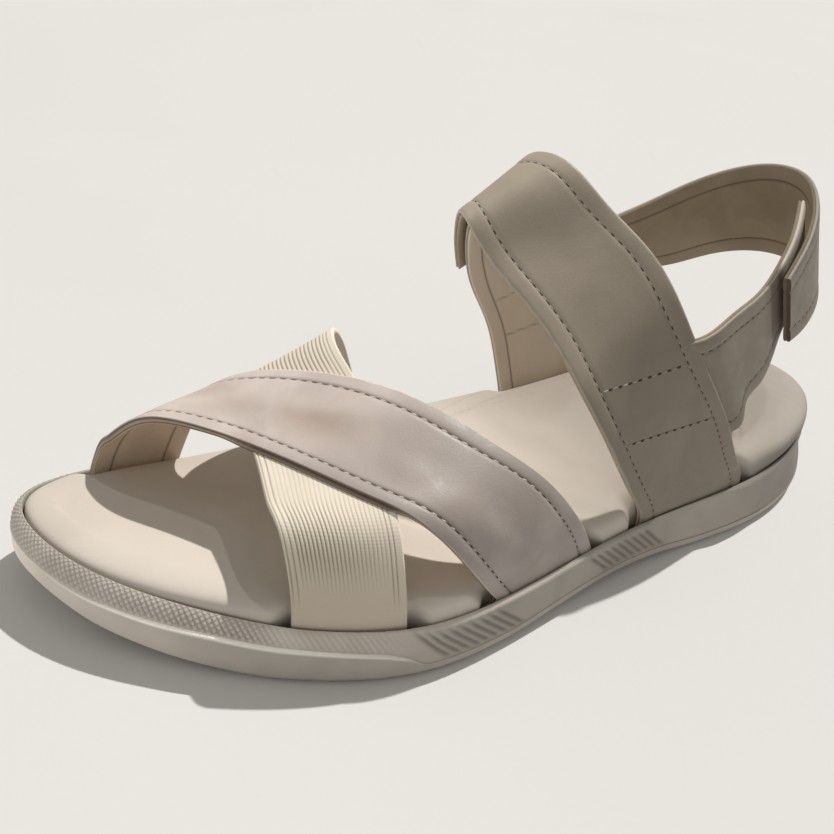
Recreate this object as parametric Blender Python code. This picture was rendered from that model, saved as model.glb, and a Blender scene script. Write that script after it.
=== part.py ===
# Left-foot strap sandal: rubber outsole, foam midsole, cushion footbed and straps on the shape of the foot.
# All sizes are in millimetres, and meshes are written in metres.
# The toe points to -Y, the heel to +Y, the lateral side to +X, and the shoe stands on Z = 0.

import bpy
import bmesh
import numpy as np

MM = 0.001

# Driving dimensions
SEAM_LENGTH = 258.0       # footbed seam from heel to toe
BALL_WIDTH = 86.0         # footbed seam across the ball
STRAP_WALL = 2.2          # leather strap with its lining
ELASTIC_WALL = 1.8
PATCH_WALL = 1.0          # hook-and-loop patch
GAP = 0.3                 # play between pieces that touch
PATCH_PLAY = 0.5          # play between a patch and the strap that it holds
SEWN_DEPTH = 1.0          # how far a sewn-on strap is sunk into the one that carries it
TUCK_DEPTH = 4.0          # how far a strap end goes down beside the footbed
TRAY_DEPTH = 4.5          # depth of the midsole's tray for the footbed
RIM_WIDTH = 1.6           # flat top of the tray's wall
PLATE = 3.0               # outsole under the foot
LIP_WALL = 1.8            # outsole where it rises up the side
LUG_GROOVE_DEPTH = 1.4
LUG_GROOVE_WIDTH = 3.0
LUG_GROOVE_DRAFT = 0.5
STRAP_LEAN = 0.7          # room for a strap that leans in towards the cushion
FOOT_MARGIN = 1.5         # room for a strap before and behind its end
FOOT_FADE = 3.0           # length over which the cushion comes back out beside a strap
RIM_ROUND = 1.0           # height of the rounded edge of the midsole's rim
RIM_EASE = 0.45           # share of the way in to the rim at that height

# Seam outline: share of the length from the heel, then reach to each side as a share of the ball width
HEEL_TIP = -0.017
TOE_TIP = -0.209
OUTLINE = (
    # share, lateral, medial
    (0.06, 0.256, 0.305),
    (0.20, 0.407, 0.427),
    (0.40, 0.465, 0.392),
    (0.60, 0.581, 0.397),
    (0.68, 0.593, 0.407),
    (0.80, 0.477, 0.397),
    (0.90, 0.279, 0.395),
    (0.96, 0.093, 0.356),
)

# Heights along the shoe, and how far the sole's side stands out beyond the seam
SOLE = (
    # share, seam height, cushion rise, heel cup depth, side reach, cushion's reach over the rim
    (0.00, 19.9, 10.3, 0.0, 4.0, 1.3),
    (0.12, 18.8, 10.1, 2.6, 3.7, 1.2),
    (0.20, 18.0, 9.4, 2.1, 3.0, 0.0),
    (0.32, 17.0, 8.4, 1.0, 2.0, 0.0),
    (0.45, 16.1, 8.0, 0.5, 2.2, 0.0),
    (0.60, 15.2, 7.4, 0.4, 2.6, 0.0),
    (0.72, 15.1, 6.8, 0.3, 3.0, 0.0),
    (0.88, 16.6, 5.4, 0.2, 3.4, 0.0),
    (1.00, 18.6, 4.2, 0.0, 3.5, 0.0),
)
GROUND = (
    # share, tread height on the lateral edge, on the medial edge
    (0.00, 3.0, 3.0),
    (0.03, 1.0, 1.0),
    (0.06, 0.0, 0.0),
    (0.27, 0.0, 0.0),
    (0.35, 1.4, 3.4),
    (0.43, 2.0, 5.0),
    (0.51, 1.4, 3.4),
    (0.59, 0.0, 0.0),
    (0.81, 0.0, 0.0),
    (0.88, 1.6, 1.6),
    (0.95, 5.0, 5.0),
    (1.00, 8.5, 8.5),
)
LIP = (
    # share, height of the outsole's edge above its own floor
    (0.00, 1.2),
    (0.68, 1.2),
    (0.705, 5.0),
    (0.73, 7.2),
    (0.80, 8.9),
    (0.86, 9.4),
    (0.93, 7.6),
    (1.00, 4.4),
)
WAIST = (
    # share, how far the upper side leans in round the heel and is scooped out between the heel and the ribs
    (0.00, 2.6),
    (0.09, 2.4),
    (0.17, 0.5),
    (0.21, 0.0),
    (0.245, 1.2),
    (0.355, 1.2),
    (0.38, 0.0),
)
LUG_GROOVES = (0.10, 0.16, 0.22, 0.62, 0.675, 0.73, 0.785)
LUG_EDGE = 0.2            # share of the width at each edge that the grooves leave whole

# Rounded edges of the sole's pieces
TREAD_EDGE = (
    # inset from the side, height above the ground
    (3.2, 0.0),
    (1.0, 0.9),
    (0.0, 2.8),
)
LIP_EDGE = (
    # inset from the side, depth below the outsole's edge
    (-0.1, 0.6),
    (0.5, 0.0),
    (LIP_WALL, 0.0),
)
MIDSOLE_SIDE = (
    # share of the side's height, inset
    (0.15, 0.2),
    (0.55, 0.1),
)
CUSHION_EDGE = (
    # share of the cushion's rise, inset from the seam, share of its reach over the rim
    (0.35, GAP, 1.0),
    (0.70, 1.2, 1.0),
    (0.93, 3.4, 0.6),
)
CUSHION_FLAT = 8.0        # inset of the cushion's flat top

# Slanted ribs on the midsole's side, in two stretches given by shares of the length
RIB_STRETCHES = ((0.375, 0.475), (0.60, 0.705))
RIB_PITCH = 2.9
RIB_DEPTH = 0.6
RIB_SLANT = 1.1           # way towards the heel for each millimetre down
RIB_HEIGHT = 9.0
RIB_FADE = 0.06           # share over which the slant comes and goes

# Shape of the forefoot under its two straps, at stations from toe to instep
FOOT_SHARES = (0.0, 0.12, 0.24, 0.36, 0.64, 0.82, 0.92, 1.0)
FOOT = (
    # station, lateral shoulder in and height, lateral crest in and height, ridge place and height,
    # medial shoulder in and height
    (-112.0, 5.0, 32.5, 12.0, 36.5, -18.0, 40.0, 8.0, 30.0),
    (-99.0, 4.5, 36.0, 13.0, 38.5, -13.0, 42.5, 6.5, 34.5),
    (-80.0, 5.0, 38.0, 13.5, 40.5, -12.5, 45.5, 5.5, 38.5),
    (-55.0, 5.0, 38.0, 13.5, 43.0, -13.0, 54.0, 5.5, 44.0),
    (-25.0, 5.0, 39.5, 15.5, 48.5, -14.0, 68.0, 5.5, 53.5),
    (10.0, 3.0, 39.5, 10.5, 52.5, -12.0, 84.0, 5.5, 64.0),
)
WALL_RISE = 10.0          # straight part of a strap above the seam
WALL_IN = 0.5

# Edges of the crossed straps: share of the way round the foot from the lateral seam, front edge, rear edge
LEATHER = (
    (0.00, -26.5, 9.5),
    (0.12, -34.5, 3.5),
    (0.24, -46.0, -8.5),
    (0.36, -57.5, -22.0),
    (0.50, -75.5, -38.0),
    (0.64, -93.0, -59.5),
    (0.82, -104.0, -78.0),
    (0.92, -106.5, -82.0),
    (1.00, -109.5, -85.0),
)
ELASTIC = (
    (0.00, -78.5, -52.0),
    (0.12, -79.0, -53.0),
    (0.24, -80.0, -53.5),
    (0.36, -80.0, -52.0),
    (0.50, -77.0, -46.5),
    (0.64, -76.0, -45.5),
    (0.76, -73.0, -40.5),
    (0.82, -68.0, -36.0),
    (0.88, -58.5, -30.0),
    (0.92, -52.0, -25.0),
    (1.00, -42.0, -15.0),
)
CROSSING = (0.06, 0.24, 0.78, 0.94)   # where the leather climbs onto the elastic and comes off it

# Instep strap from the lateral seam, over the top, to its fastened end on the medial side
INSTEP_FOOT = ((31.0, 74.5), (25.5, 69.0))   # front and rear at the tucked end and above the cushion
INSTEP = (
    # front edge x, y, z and rear edge x, y, z
    (36.5, 11.0, 49.0, 37.0, 55.0, 48.0),
    (30.0, 3.5, 62.5, 35.0, 42.0, 66.0),
    (20.0, -0.5, 72.0, 29.0, 32.5, 83.0),
    (8.0, -5.0, 80.0, 19.0, 27.0, 94.0),
    (-3.0, -9.5, 87.0, 6.0, 19.0, 103.5),
    (-12.0, -12.0, 94.0, -7.0, 13.0, 111.0),
    (-19.0, -10.0, 93.0, -18.0, 11.5, 109.0),
    (-25.0, -6.5, 86.0, -26.0, 14.0, 101.0),
    (-29.0, -3.0, 78.0, -31.0, 19.0, 92.0),
    (-31.5, 0.5, 70.0, -34.0, 25.0, 82.0),
)
# Medial quarter from the medial seam up to where it goes under the instep strap
MEDIAL_FOOT = ((27.0, 72.0), (24.5, 70.0))
MEDIAL = (
    (-32.5, 17.0, 46.0, -36.0, 62.0, 48.0),
    (-30.0, 8.0, 60.0, -34.0, 46.0, 67.0),
)
# Heel strap from the medial quarter, round the heel, to its fastened end on the lateral side
HEEL = (
    # top edge x, y, z and bottom edge x, y, z
    (-34.5, 75.0, 84.5, -34.5, 92.0, 60.5),
    (-31.5, 96.5, 93.0, -31.0, 108.0, 64.5),
    (-22.0, 110.0, 99.0, -21.0, 117.0, 68.5),
    (-8.5, 112.5, 100.7, -7.0, 119.8, 70.5),
    (4.0, 106.5, 98.0, 7.1, 115.2, 69.0),
    (15.0, 95.5, 93.2, 17.7, 105.3, 66.0),
    (22.5, 84.5, 88.3, 24.0, 94.0, 62.8),
    (27.0, 76.0, 83.6, 27.5, 85.0, 62.0),
)
# Lateral quarter between the instep strap and the heel strap
LATERAL_ROOT = (
    # column of the instep strap, its rows at the quarter's top and bottom edge
    (1, 12.0, 6.2),
    (3, 13.0, 6.4),
)
LATERAL = (
    (34.0, 43.0, 74.0, 35.0, 66.2, 41.2),
    (31.4, 53.0, 77.0, 32.4, 68.2, 46.8),
    (28.4, 63.0, 79.3, 30.0, 75.0, 51.0),
)
LATERAL_END = (
    # row of the heel strap over the quarter's end, span of that strap's width
    (-2, 0.0, 0.90),
    (-4, -0.04, 0.90),
    (-7, -0.10, 0.90),
)

ROWS_ALONG = 40           # rungs of the sole between heel and toe
STRAP_COLUMNS = 4         # faces across a strap
ELASTIC_ROWS = 28         # faces along each strap
LEATHER_ROWS = 32
INSTEP_ROWS = 32
MEDIAL_ROWS = 24
HEEL_ROWS = 30
LATERAL_ROWS = 20

COLOURS = {
    "outsole": ((0.40, 0.36, 0.32), 0.70),
    "midsole": ((0.44, 0.40, 0.36), 0.75),
    "footbed": ((0.66, 0.60, 0.52), 0.70),
    "forefoot_straps": ((0.50, 0.43, 0.38), 0.60),
    "instep_strap": ((0.24, 0.21, 0.17), 0.60),
    "heel_strap": ((0.24, 0.21, 0.17), 0.60),
    "instep_fastener": ((0.30, 0.27, 0.23), 0.95),
    "heel_fastener": ((0.30, 0.27, 0.23), 0.95),
}


def spline(knots, values, at):
    """Natural cubic curve through the values at the knots, read at other places."""
    knots = np.asarray(knots, float)
    values = np.asarray(values, float)
    at = np.asarray(at, float)
    step = np.diff(knots)
    slope = np.diff(values, axis=0) / step.reshape(-1, *[1] * (values.ndim - 1))
    system = np.eye(len(knots))
    bend = np.zeros_like(values)
    for i in range(1, len(knots) - 1):
        system[i, i - 1:i + 2] = step[i - 1], 2 * (step[i - 1] + step[i]), step[i]
        bend[i] = 6 * (slope[i] - slope[i - 1])
    bend = np.linalg.solve(system, bend.reshape(len(knots), -1)).reshape(values.shape)
    k = np.clip(np.searchsorted(knots, at) - 1, 0, len(knots) - 2)
    shape = at.shape + (1,) * (values.ndim - 1)
    h = step[k].reshape(shape)
    right = ((at - knots[k]) / step[k]).reshape(shape)
    left = 1 - right
    cubic = (left ** 3 - left) * bend[k] + (right ** 3 - right) * bend[k + 1]
    return left * values[k] + right * values[k + 1] + cubic * h ** 2 / 6


def column(table, index):
    return np.array([row[index] for row in table])


def along(table, index, share):
    return spline(column(table, 0), column(table, index), share)


def steps(table, index, share):
    return np.interp(share, column(table, 0), column(table, index))


def share_of(angle):
    return (1 - np.cos(angle)) / 2


def angle_of(share):
    return np.arccos(1 - 2 * np.clip(share, 0, 1))


def seam_reach(angle):
    """Sideways place of the seam, by an angle that runs from the heel along the lateral side and back."""
    lateral = angle_of(column(OUTLINE, 0))
    turn = np.concatenate([[0.0], lateral, [np.pi], 2 * np.pi - lateral[::-1]])
    reach = np.concatenate([[HEEL_TIP], column(OUTLINE, 1), [TOE_TIP], -column(OUTLINE, 2)[::-1]])
    turns = np.concatenate([turn - 2 * np.pi, turn, turn + 2 * np.pi])
    return spline(turns, np.tile(reach, 3) * BALL_WIDTH, angle)


def outline(angle, offset):
    """Points of the seam outline moved outwards by an offset."""
    near = 0.001
    x, y = seam_reach(angle), SEAM_LENGTH / 2 * np.cos(angle)
    dx = seam_reach(angle + near) - seam_reach(angle - near)
    dy = SEAM_LENGTH / 2 * (np.cos(angle + near) - np.cos(angle - near))
    size = np.hypot(dx, dy)
    return x - dy / size * offset, y + dx / size * offset


def seam_x(y, side):
    """Sideways place of the seam at a station, on the lateral (1) or medial (-1) side."""
    angle = angle_of(0.5 - np.asarray(y) / SEAM_LENGTH)
    return seam_reach(angle if side > 0 else 2 * np.pi - angle)


def seam_z(y):
    return along(SOLE, 1, 0.5 - np.asarray(y) / SEAM_LENGTH)


def rungs(extra_shares=()):
    """Angles all round the outline, in pairs that face each other across the sole."""
    half = np.linspace(0, np.pi, ROWS_ALONG + 1)
    extra = angle_of(np.asarray(extra_shares, float))
    apart = np.array([np.min(np.abs(extra - a), initial=1.0) > 0.02 for a in half])
    apart[[0, -1]] = True
    half = np.sort(np.concatenate([half[apart], extra]))
    return np.concatenate([half, 2 * np.pi - half[-2:0:-1]])


def ring(angle, offset, height):
    x, y = outline(angle, offset)
    return np.stack([x, y, height + 0 * x], axis=1)


def cap(points, faces, first, ring_points, across, relief):
    """Closes a ring with rows across the sole. relief(share, u) lifts the inside of the surface."""
    count = len(ring_points)
    half = count // 2
    rows = [[first]]
    for k in range(1, half):
        start, end = ring_points[k], ring_points[count - k]
        row = [first + k]
        for j in range(1, across):
            u = j / across
            point = start * (1 - u) + end * u
            point[2] += relief(0.5 - point[1] / SEAM_LENGTH, u)
            row.append(len(points))
            points.append(point)
        rows.append(row + [first + count - k])
    rows.append([first + half])
    for near, far in zip(rows[1:-2], rows[2:-1]):
        faces += [(near[j], near[j + 1], far[j + 1], far[j]) for j in range(across)]
    for tip, row in ((rows[0][0], rows[1]), (rows[-1][0], rows[-2])):
        faces += [(tip, row[j], row[j + 1]) for j in range(across)]


def moulded(name, rings, across, first_relief, last_relief):
    """Closed solid skinned over rings, from the ring of its underside to the ring of its top."""
    count = len(rings[0])
    points = [point.copy() for loop in rings for point in loop]
    faces = []
    for r in range(len(rings) - 1):
        for k in range(count):
            a, b = r * count + k, r * count + (k + 1) % count
            faces.append((a, b, b + count, a + count))
    cap(points, faces, 0, rings[0], across, first_relief)
    cap(points, faces, (len(rings) - 1) * count, rings[-1], across, last_relief)
    return add_object(name, points, faces)


def add_object(name, points, faces):
    mesh = bpy.data.meshes.new(name)
    placed = (np.array(points) - (ORIGIN_X, ORIGIN_Y, 0.0)) * MM
    mesh.from_pydata(placed.tolist(), [], faces)
    solid = bmesh.new()
    solid.from_mesh(mesh)
    bmesh.ops.triangulate(solid, faces=solid.faces)
    bmesh.ops.recalc_face_normals(solid, faces=solid.faces)
    solid.to_mesh(mesh)
    solid.free()
    mesh.shade_smooth()
    mesh.set_sharp_from_angle(angle=np.radians(40))
    made = bpy.data.objects.new(name, mesh)
    bpy.context.collection.objects.link(made)
    return made


def finish(made):
    colour, roughness = COLOURS[made.name]
    material = bpy.data.materials.new(made.name)
    material.use_nodes = True
    shader = material.node_tree.nodes["Principled BSDF"]
    shader.inputs["Base Color"].default_value = (*colour, 1.0)
    shader.inputs["Roughness"].default_value = roughness
    shader.inputs["Metallic"].default_value = 0.0
    made.data.materials.append(material)


def tread(angle):
    share = share_of(angle)
    return np.where(angle < np.pi, steps(GROUND, 1, share), steps(GROUND, 2, share))


def flat(share, u):
    return 0.0


def lugs(share, u):
    """Cross grooves of the tread, which stop short of the edges."""
    if not LUG_EDGE < u < 1 - LUG_EDGE:
        return 0.0
    from_groove = np.min(np.abs(np.array(LUG_GROOVES) - share)) * SEAM_LENGTH
    return LUG_GROOVE_DEPTH if from_groove < LUG_GROOVE_WIDTH / 2 + 0.05 else 0.0


def cup(share, u):
    return -float(along(SOLE, 3, share)) * (1 - (2 * u - 1) ** 2)


def make_outsole():
    half_width = LUG_GROOVE_WIDTH / 2 / SEAM_LENGTH
    draft = LUG_GROOVE_DRAFT / SEAM_LENGTH
    reaches = (-half_width - draft, -half_width, half_width, half_width + draft)
    angle = rungs([groove + reach for groove in LUG_GROOVES for reach in reaches])
    share = share_of(angle)
    ground, side = tread(angle), along(SOLE, 4, share)
    floor = ground + PLATE
    lip = floor + steps(LIP, 1, share)
    rings = [ring(angle, side - inset, ground + rise) for inset, rise in TREAD_EDGE]
    rings += [ring(angle, side - inset, lip - drop) for inset, drop in LIP_EDGE]
    rings.append(ring(angle, side - LIP_WALL, floor))
    return moulded("outsole", rings, 8, lugs, flat)


def rib_count(start, end):
    return round((end - start) * SEAM_LENGTH / RIB_PITCH)


def rib_shares():
    return [share for pair in RIB_STRETCHES for share in np.linspace(*pair, 2 * rib_count(*pair) + 1)]


def rib_depth(share):
    """How deep the grooves between the ribs are, by the share of the length at the ribs' upper end."""
    deep = np.zeros_like(share)
    for start, end in RIB_STRETCHES:
        turn = (share - start) / (end - start) * rib_count(start, end)
        wave = RIB_DEPTH * (1 - np.cos(2 * np.pi * turn)) / 2
        deep = np.where((share > start) & (share < end), wave, deep)
    return deep


def slanted(angle, drop):
    """Angles moved towards the heel by the slant of the ribs at a depth below their upper end."""
    share = share_of(angle)
    near = np.zeros_like(share)
    for start, end in RIB_STRETCHES:
        near += np.interp(share, (start - RIB_FADE, start, end, end + RIB_FADE), (0, 1, 1, 0))
    moved = angle_of(share - near * RIB_SLANT * drop / SEAM_LENGTH)
    return np.where(angle < np.pi, moved, 2 * np.pi - moved)


def ribbed(angle, rise, inset, rib_share):
    """Ring of the midsole's side at a share of its height, with its part of the ribs' depth."""
    place = slanted(angle, RIB_HEIGHT * (1 - rise))
    share = share_of(place)
    low = tread(place) + PLATE + GAP + steps(LIP, 1, share)
    high = along(SOLE, 1, share) - RIM_ROUND
    offset = along(SOLE, 4, share) - inset - rib_depth(share_of(angle)) * rib_share
    return ring(place, offset - steps(WAIST, 1, share) * rise, low * (1 - rise) + high * rise)


def make_midsole():
    angle = rungs([*column(LIP, 0)[1:-1], *column(WAIST, 0)[1:], *rib_shares()])
    share = share_of(angle)
    seam, side = along(SOLE, 1, share), along(SOLE, 4, share)
    floor = tread(angle) + PLATE + GAP
    lip = floor + steps(LIP, 1, share)
    rim = np.minimum(RIM_WIDTH, side - steps(WAIST, 1, share) - GAP)
    inside = side - LIP_WALL - GAP
    rings = [
        ring(angle, inside, floor),
        ring(angle, inside, lip),
        ring(angle, side - 2 * GAP, lip),
        *[ribbed(angle, rise, inset, 1.0) for rise, inset in MIDSOLE_SIDE],
        ribbed(angle, 1.0, (side - steps(WAIST, 1, share) - rim) * RIM_EASE, 0.4),
        ring(angle, rim, seam),
        ring(angle, 0.0, seam),
        ring(angle, 0.0, seam - TRAY_DEPTH),
    ]
    return moulded("midsole", rings, 4, flat, flat)


def strap_feet():
    """Stretches of the seam, by side, where straps go down beside the footbed."""
    pairs = (
        (1, [row[1:] for row in LEATHER[:2]]),
        (1, [row[1:] for row in ELASTIC[:2]]),
        (1, INSTEP_FOOT),
        (-1, [row[1:] for row in (*LEATHER[-2:], *ELASTIC[-2:])]),
        (-1, MEDIAL_FOOT),
    )
    return [(side, np.min(reach) - FOOT_MARGIN, np.max(reach) + FOOT_MARGIN) for side, reach in pairs]


def recess(angle):
    """How deep the cushion's side is pressed in by the straps."""
    y = SEAM_LENGTH / 2 * np.cos(angle)
    deep = np.zeros_like(y)
    for side, low, high in strap_feet():
        outside = np.maximum(low - y, y - high)
        press = np.clip(1 - outside / FOOT_FADE, 0, 1)
        deep = np.maximum(deep, np.where((angle < np.pi) == (side > 0), press, 0))
    return deep * (STRAP_WALL + GAP + STRAP_LEAN)


def make_footbed():
    edges = []
    for side, low, high in strap_feet():
        edges += [low - FOOT_FADE, low, high, high + FOOT_FADE]
    edges = sorted(edges)
    kept = [edges[0]] + [b for a, b in zip(edges, edges[1:]) if b - a > 1.0]
    angle = rungs([0.5 - y / SEAM_LENGTH for y in kept])
    share = share_of(angle)
    seam, rise, deep = along(SOLE, 1, share), along(SOLE, 2, share), recess(angle)
    over = steps(SOLE, 5, share)
    rings = [ring(angle, -GAP - deep, seam - TRAY_DEPTH + GAP), ring(angle, -GAP - deep, seam + GAP)]
    for height, inset, reach in CUSHION_EDGE:
        rings.append(ring(angle, over * reach - inset - deep, seam + height * rise))
    rings.append(ring(angle, -CUSHION_FLAT - deep / 2, seam + rise))
    return moulded("footbed", rings, 6, flat, cup)


def foot_surface(y, share):
    """Points of the forefoot's surface at some stations, at a share of the way round from the lateral side."""
    base_in = GAP + STRAP_WALL
    lateral, medial, seam = seam_x(y, 1) - base_in, seam_x(y, -1) + base_in, seam_z(y)
    shoulder_in, shoulder, crest_in, crest, ridge_x, ridge, medial_in, medial_top = (
        spline(column(FOOT, 0), column(FOOT, i), y) for i in range(1, 9)
    )
    section = np.array([
        (lateral, seam),
        (lateral - WALL_IN, seam + WALL_RISE),
        (lateral - shoulder_in, shoulder),
        (lateral - crest_in, crest),
        (ridge_x, ridge),
        (medial + medial_in, medial_top),
        (medial + WALL_IN, seam + WALL_RISE),
        (medial, seam),
    ])
    x, z = spline(FOOT_SHARES, section, [share])[0]
    return np.stack([x, y, z], axis=1)


def forefoot_grid(edges, pieces):
    """Rows of points across a forefoot strap, with its two ends tucked down beside the footbed."""
    share = np.linspace(0, 1, pieces + 1)
    front, rear = along(edges, 1, share), along(edges, 2, share)
    rows = []
    for s, y_front, y_rear in zip(share, front, rear):
        rows.append(foot_surface(np.linspace(y_front, y_rear, STRAP_COLUMNS + 1), s))
    rows = np.array(rows)
    down = np.array((0.0, 0.0, TUCK_DEPTH))
    return np.concatenate([rows[:1] - down, rows, rows[-1:] - down])


def outward(grid, inside):
    """Unit normals of a grid of points, away from a place inside the shoe."""
    normal = np.cross(np.gradient(grid, axis=0), np.gradient(grid, axis=1))
    normal /= np.linalg.norm(normal, axis=2, keepdims=True)
    facing = np.sum(normal * (grid - np.array(inside)), axis=2, keepdims=True)
    return normal * np.sign(np.sum(facing))


def strap(name, grid, normal, inner, outer):
    """Closed band between two offsets of a grid of points."""
    rows, columns = grid.shape[:2]
    faces_at = [grid + normal * np.asarray(offset, float).reshape(-1, 1, 1) for offset in (outer, inner)]
    points = np.concatenate(faces_at).reshape(-1, 3)
    below = rows * columns
    faces = []
    for r in range(rows - 1):
        for c in range(columns - 1):
            a = r * columns + c
            quad = (a, a + 1, a + columns + 1, a + columns)
            faces += [quad, tuple(i + below for i in reversed(quad))]
    edge = [c for c in range(columns)]
    edge += [r * columns + columns - 1 for r in range(1, rows)]
    edge += [(rows - 1) * columns + c for c in range(columns - 2, -1, -1)]
    edge += [r * columns for r in range(rows - 2, 0, -1)]
    faces += [(a, b, b + below, a + below) for a, b in zip(edge, edge[1:] + edge[:1])]
    return add_object(name, points, faces)


def join(carrier, sewn_on):
    """Leaves a strap and the one sewn to it as one solid."""
    sewn_on.hide_render = True
    sewn_on.display_type = "WIRE"
    union = carrier.modifiers.new("sewn", "BOOLEAN")
    union.operation = "UNION"
    union.solver = "EXACT"
    union.object = sewn_on


def ruled(rows):
    """Rows of points across a strap from its two edges."""
    edges = np.array(rows, float).reshape(-1, 2, 3)
    v = np.linspace(0, 1, STRAP_COLUMNS + 1).reshape(1, -1, 1)
    return edges[:, :1] * (1 - v) + edges[:, 1:] * v


def seam_rows(feet, side):
    """Rows where a strap stands against the seam: its tucked end, at the seam and above the cushion."""
    rows = []
    for (front, rear), rise in zip((feet[0], feet[0], feet[1]), (-TUCK_DEPTH, 0.0, WALL_RISE)):
        y = np.linspace(front, rear, STRAP_COLUMNS + 1)
        rows.append(np.stack([seam_x(y, side) - side * GAP, y, seam_z(y) + rise], axis=1))
    return np.array(rows)


def smooth_rows(rows, pieces):
    """More rows along a smooth curve through the given ones, evenly spaced."""
    middle = rows.mean(axis=1)
    length = np.concatenate([[0], np.cumsum(np.linalg.norm(np.diff(middle, axis=0), axis=1))])
    return spline(length, rows, np.linspace(0, length[-1], pieces + 1))


def between(rows, low, high):
    """The part of each row between two shares of the strap's width."""
    places = np.linspace(low, high, STRAP_COLUMNS + 1) * STRAP_COLUMNS
    return np.stack([spline(range(STRAP_COLUMNS + 1), row, places) for row in rows])


def down_column(grid, index, top, bottom):
    """Points down one column of a strap between two of its rows."""
    return spline(range(len(grid)), grid[:, index], np.linspace(top, bottom, STRAP_COLUMNS + 1))


FOREFOOT_INSIDE = (5.0, -60.0, 30.0)
INSTEP_INSIDE = (0.0, 30.0, 50.0)
HEEL_INSIDE = (-3.0, 75.0, 78.0)
FASTENED_IN = STRAP_WALL + GAP + PATCH_WALL + PATCH_PLAY   # from a strap's face to the strap fastened under it
SEWN_IN = STRAP_WALL - SEWN_DEPTH                     # from a strap's face to the strap sewn under it
PATCH_SPAN = (0.15, 0.85)                             # part of the strap's width that a patch takes
MEDIAL_SPAN = (0.03, 0.97)                            # part of the instep strap's width over the quarter


def make_forefoot_straps():
    elastic = forefoot_grid(ELASTIC, ELASTIC_ROWS)
    leather = forefoot_grid(LEATHER, LEATHER_ROWS)
    share = np.concatenate([[0], np.linspace(0, 1, LEATHER_ROWS + 1), [1]])
    lift = np.interp(share, CROSSING, (0, 1, 1, 0)) * (ELASTIC_WALL - SEWN_DEPTH)
    under = strap("elastic_strap", elastic, outward(elastic, FOREFOOT_INSIDE), 0.0, ELASTIC_WALL)
    over = strap("forefoot_straps", leather, outward(leather, FOREFOOT_INSIDE), lift, lift + STRAP_WALL)
    join(over, under)
    return over


def patch(name, grid, normal):
    """Hook-and-loop patch on the inner face of a strap's fastened end."""
    outer = -STRAP_WALL - GAP
    return strap(name, between(grid, *PATCH_SPAN), between(normal, *PATCH_SPAN), outer - PATCH_WALL, outer)


def make_rear_straps():
    instep = smooth_rows(np.concatenate([seam_rows(INSTEP_FOOT, 1), ruled(INSTEP)]), INSTEP_ROWS)
    instep_out = outward(instep, INSTEP_INSIDE)
    under_instep = instep - instep_out * FASTENED_IN

    tucked = between(under_instep[[-2, -4, -6, -8]], *MEDIAL_SPAN)
    medial_rows = np.concatenate([seam_rows(MEDIAL_FOOT, -1), ruled(MEDIAL), tucked])
    medial = smooth_rows(medial_rows, MEDIAL_ROWS)
    medial_out = outward(medial, INSTEP_INSIDE)

    sewn_to_medial = medial - medial_out * SEWN_IN
    heel_root = np.stack([sewn_to_medial[15:10:-1, 2], sewn_to_medial[15:10:-1, 4]])
    heel = smooth_rows(np.concatenate([heel_root, ruled(HEEL)]), HEEL_ROWS)
    heel_out = outward(heel, HEEL_INSIDE)
    under_heel = heel - heel_out * FASTENED_IN

    sewn_to_instep = instep - instep_out * SEWN_IN
    lateral_root = [down_column(sewn_to_instep, *root) for root in LATERAL_ROOT]
    lateral_end = [between(under_heel[[row]], *span)[0] for row, *span in LATERAL_END]
    lateral = smooth_rows(np.array([*lateral_root, *ruled(LATERAL), *lateral_end]), LATERAL_ROWS)
    lateral_out = outward(lateral, HEEL_INSIDE)

    instep_strap = strap("instep_strap", instep, instep_out, -STRAP_WALL, 0.0)
    join(instep_strap, strap("lateral_quarter", lateral, lateral_out, -STRAP_WALL, 0.0))
    heel_strap = strap("heel_strap", heel, heel_out, -STRAP_WALL, 0.0)
    join(heel_strap, strap("medial_quarter", medial, medial_out, -STRAP_WALL, 0.0))
    instep_fastener = patch("instep_fastener", instep[-8:-1], instep_out[-8:-1])
    heel_fastener = patch("heel_fastener", heel[-6:-1], heel_out[-6:-1])
    return [instep_strap, heel_strap, instep_fastener, heel_fastener]


def sole_centre():
    """Middle of the sole's box, which is set at the origin."""
    angle = rungs()
    x, y = outline(angle, along(SOLE, 4, share_of(angle)) + 0.1)
    return (x.min() + x.max()) / 2, (y.min() + y.max()) / 2


for old in list(bpy.data.objects):
    bpy.data.objects.remove(old)
ORIGIN_X, ORIGIN_Y = sole_centre()
pieces = [make_outsole(), make_midsole(), make_footbed(), make_forefoot_straps(), *make_rear_straps()]
for piece in pieces:
    finish(piece)
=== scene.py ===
import math

import bmesh
import bpy
import numpy as np
from mathutils import Matrix, Vector


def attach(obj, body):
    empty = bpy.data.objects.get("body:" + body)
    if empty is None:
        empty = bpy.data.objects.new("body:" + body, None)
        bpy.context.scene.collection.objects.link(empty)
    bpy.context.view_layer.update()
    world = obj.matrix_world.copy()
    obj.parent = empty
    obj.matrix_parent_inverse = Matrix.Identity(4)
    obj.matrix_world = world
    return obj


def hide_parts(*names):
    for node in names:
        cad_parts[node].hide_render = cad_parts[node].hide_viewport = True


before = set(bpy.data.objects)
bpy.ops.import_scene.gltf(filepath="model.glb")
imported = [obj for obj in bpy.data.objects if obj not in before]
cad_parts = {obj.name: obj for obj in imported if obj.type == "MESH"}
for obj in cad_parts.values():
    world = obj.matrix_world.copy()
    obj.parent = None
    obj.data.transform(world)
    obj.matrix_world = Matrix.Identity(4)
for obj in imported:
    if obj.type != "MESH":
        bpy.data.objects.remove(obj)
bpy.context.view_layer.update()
print("frame: loaded", len(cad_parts), "solids of the sandal")

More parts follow.
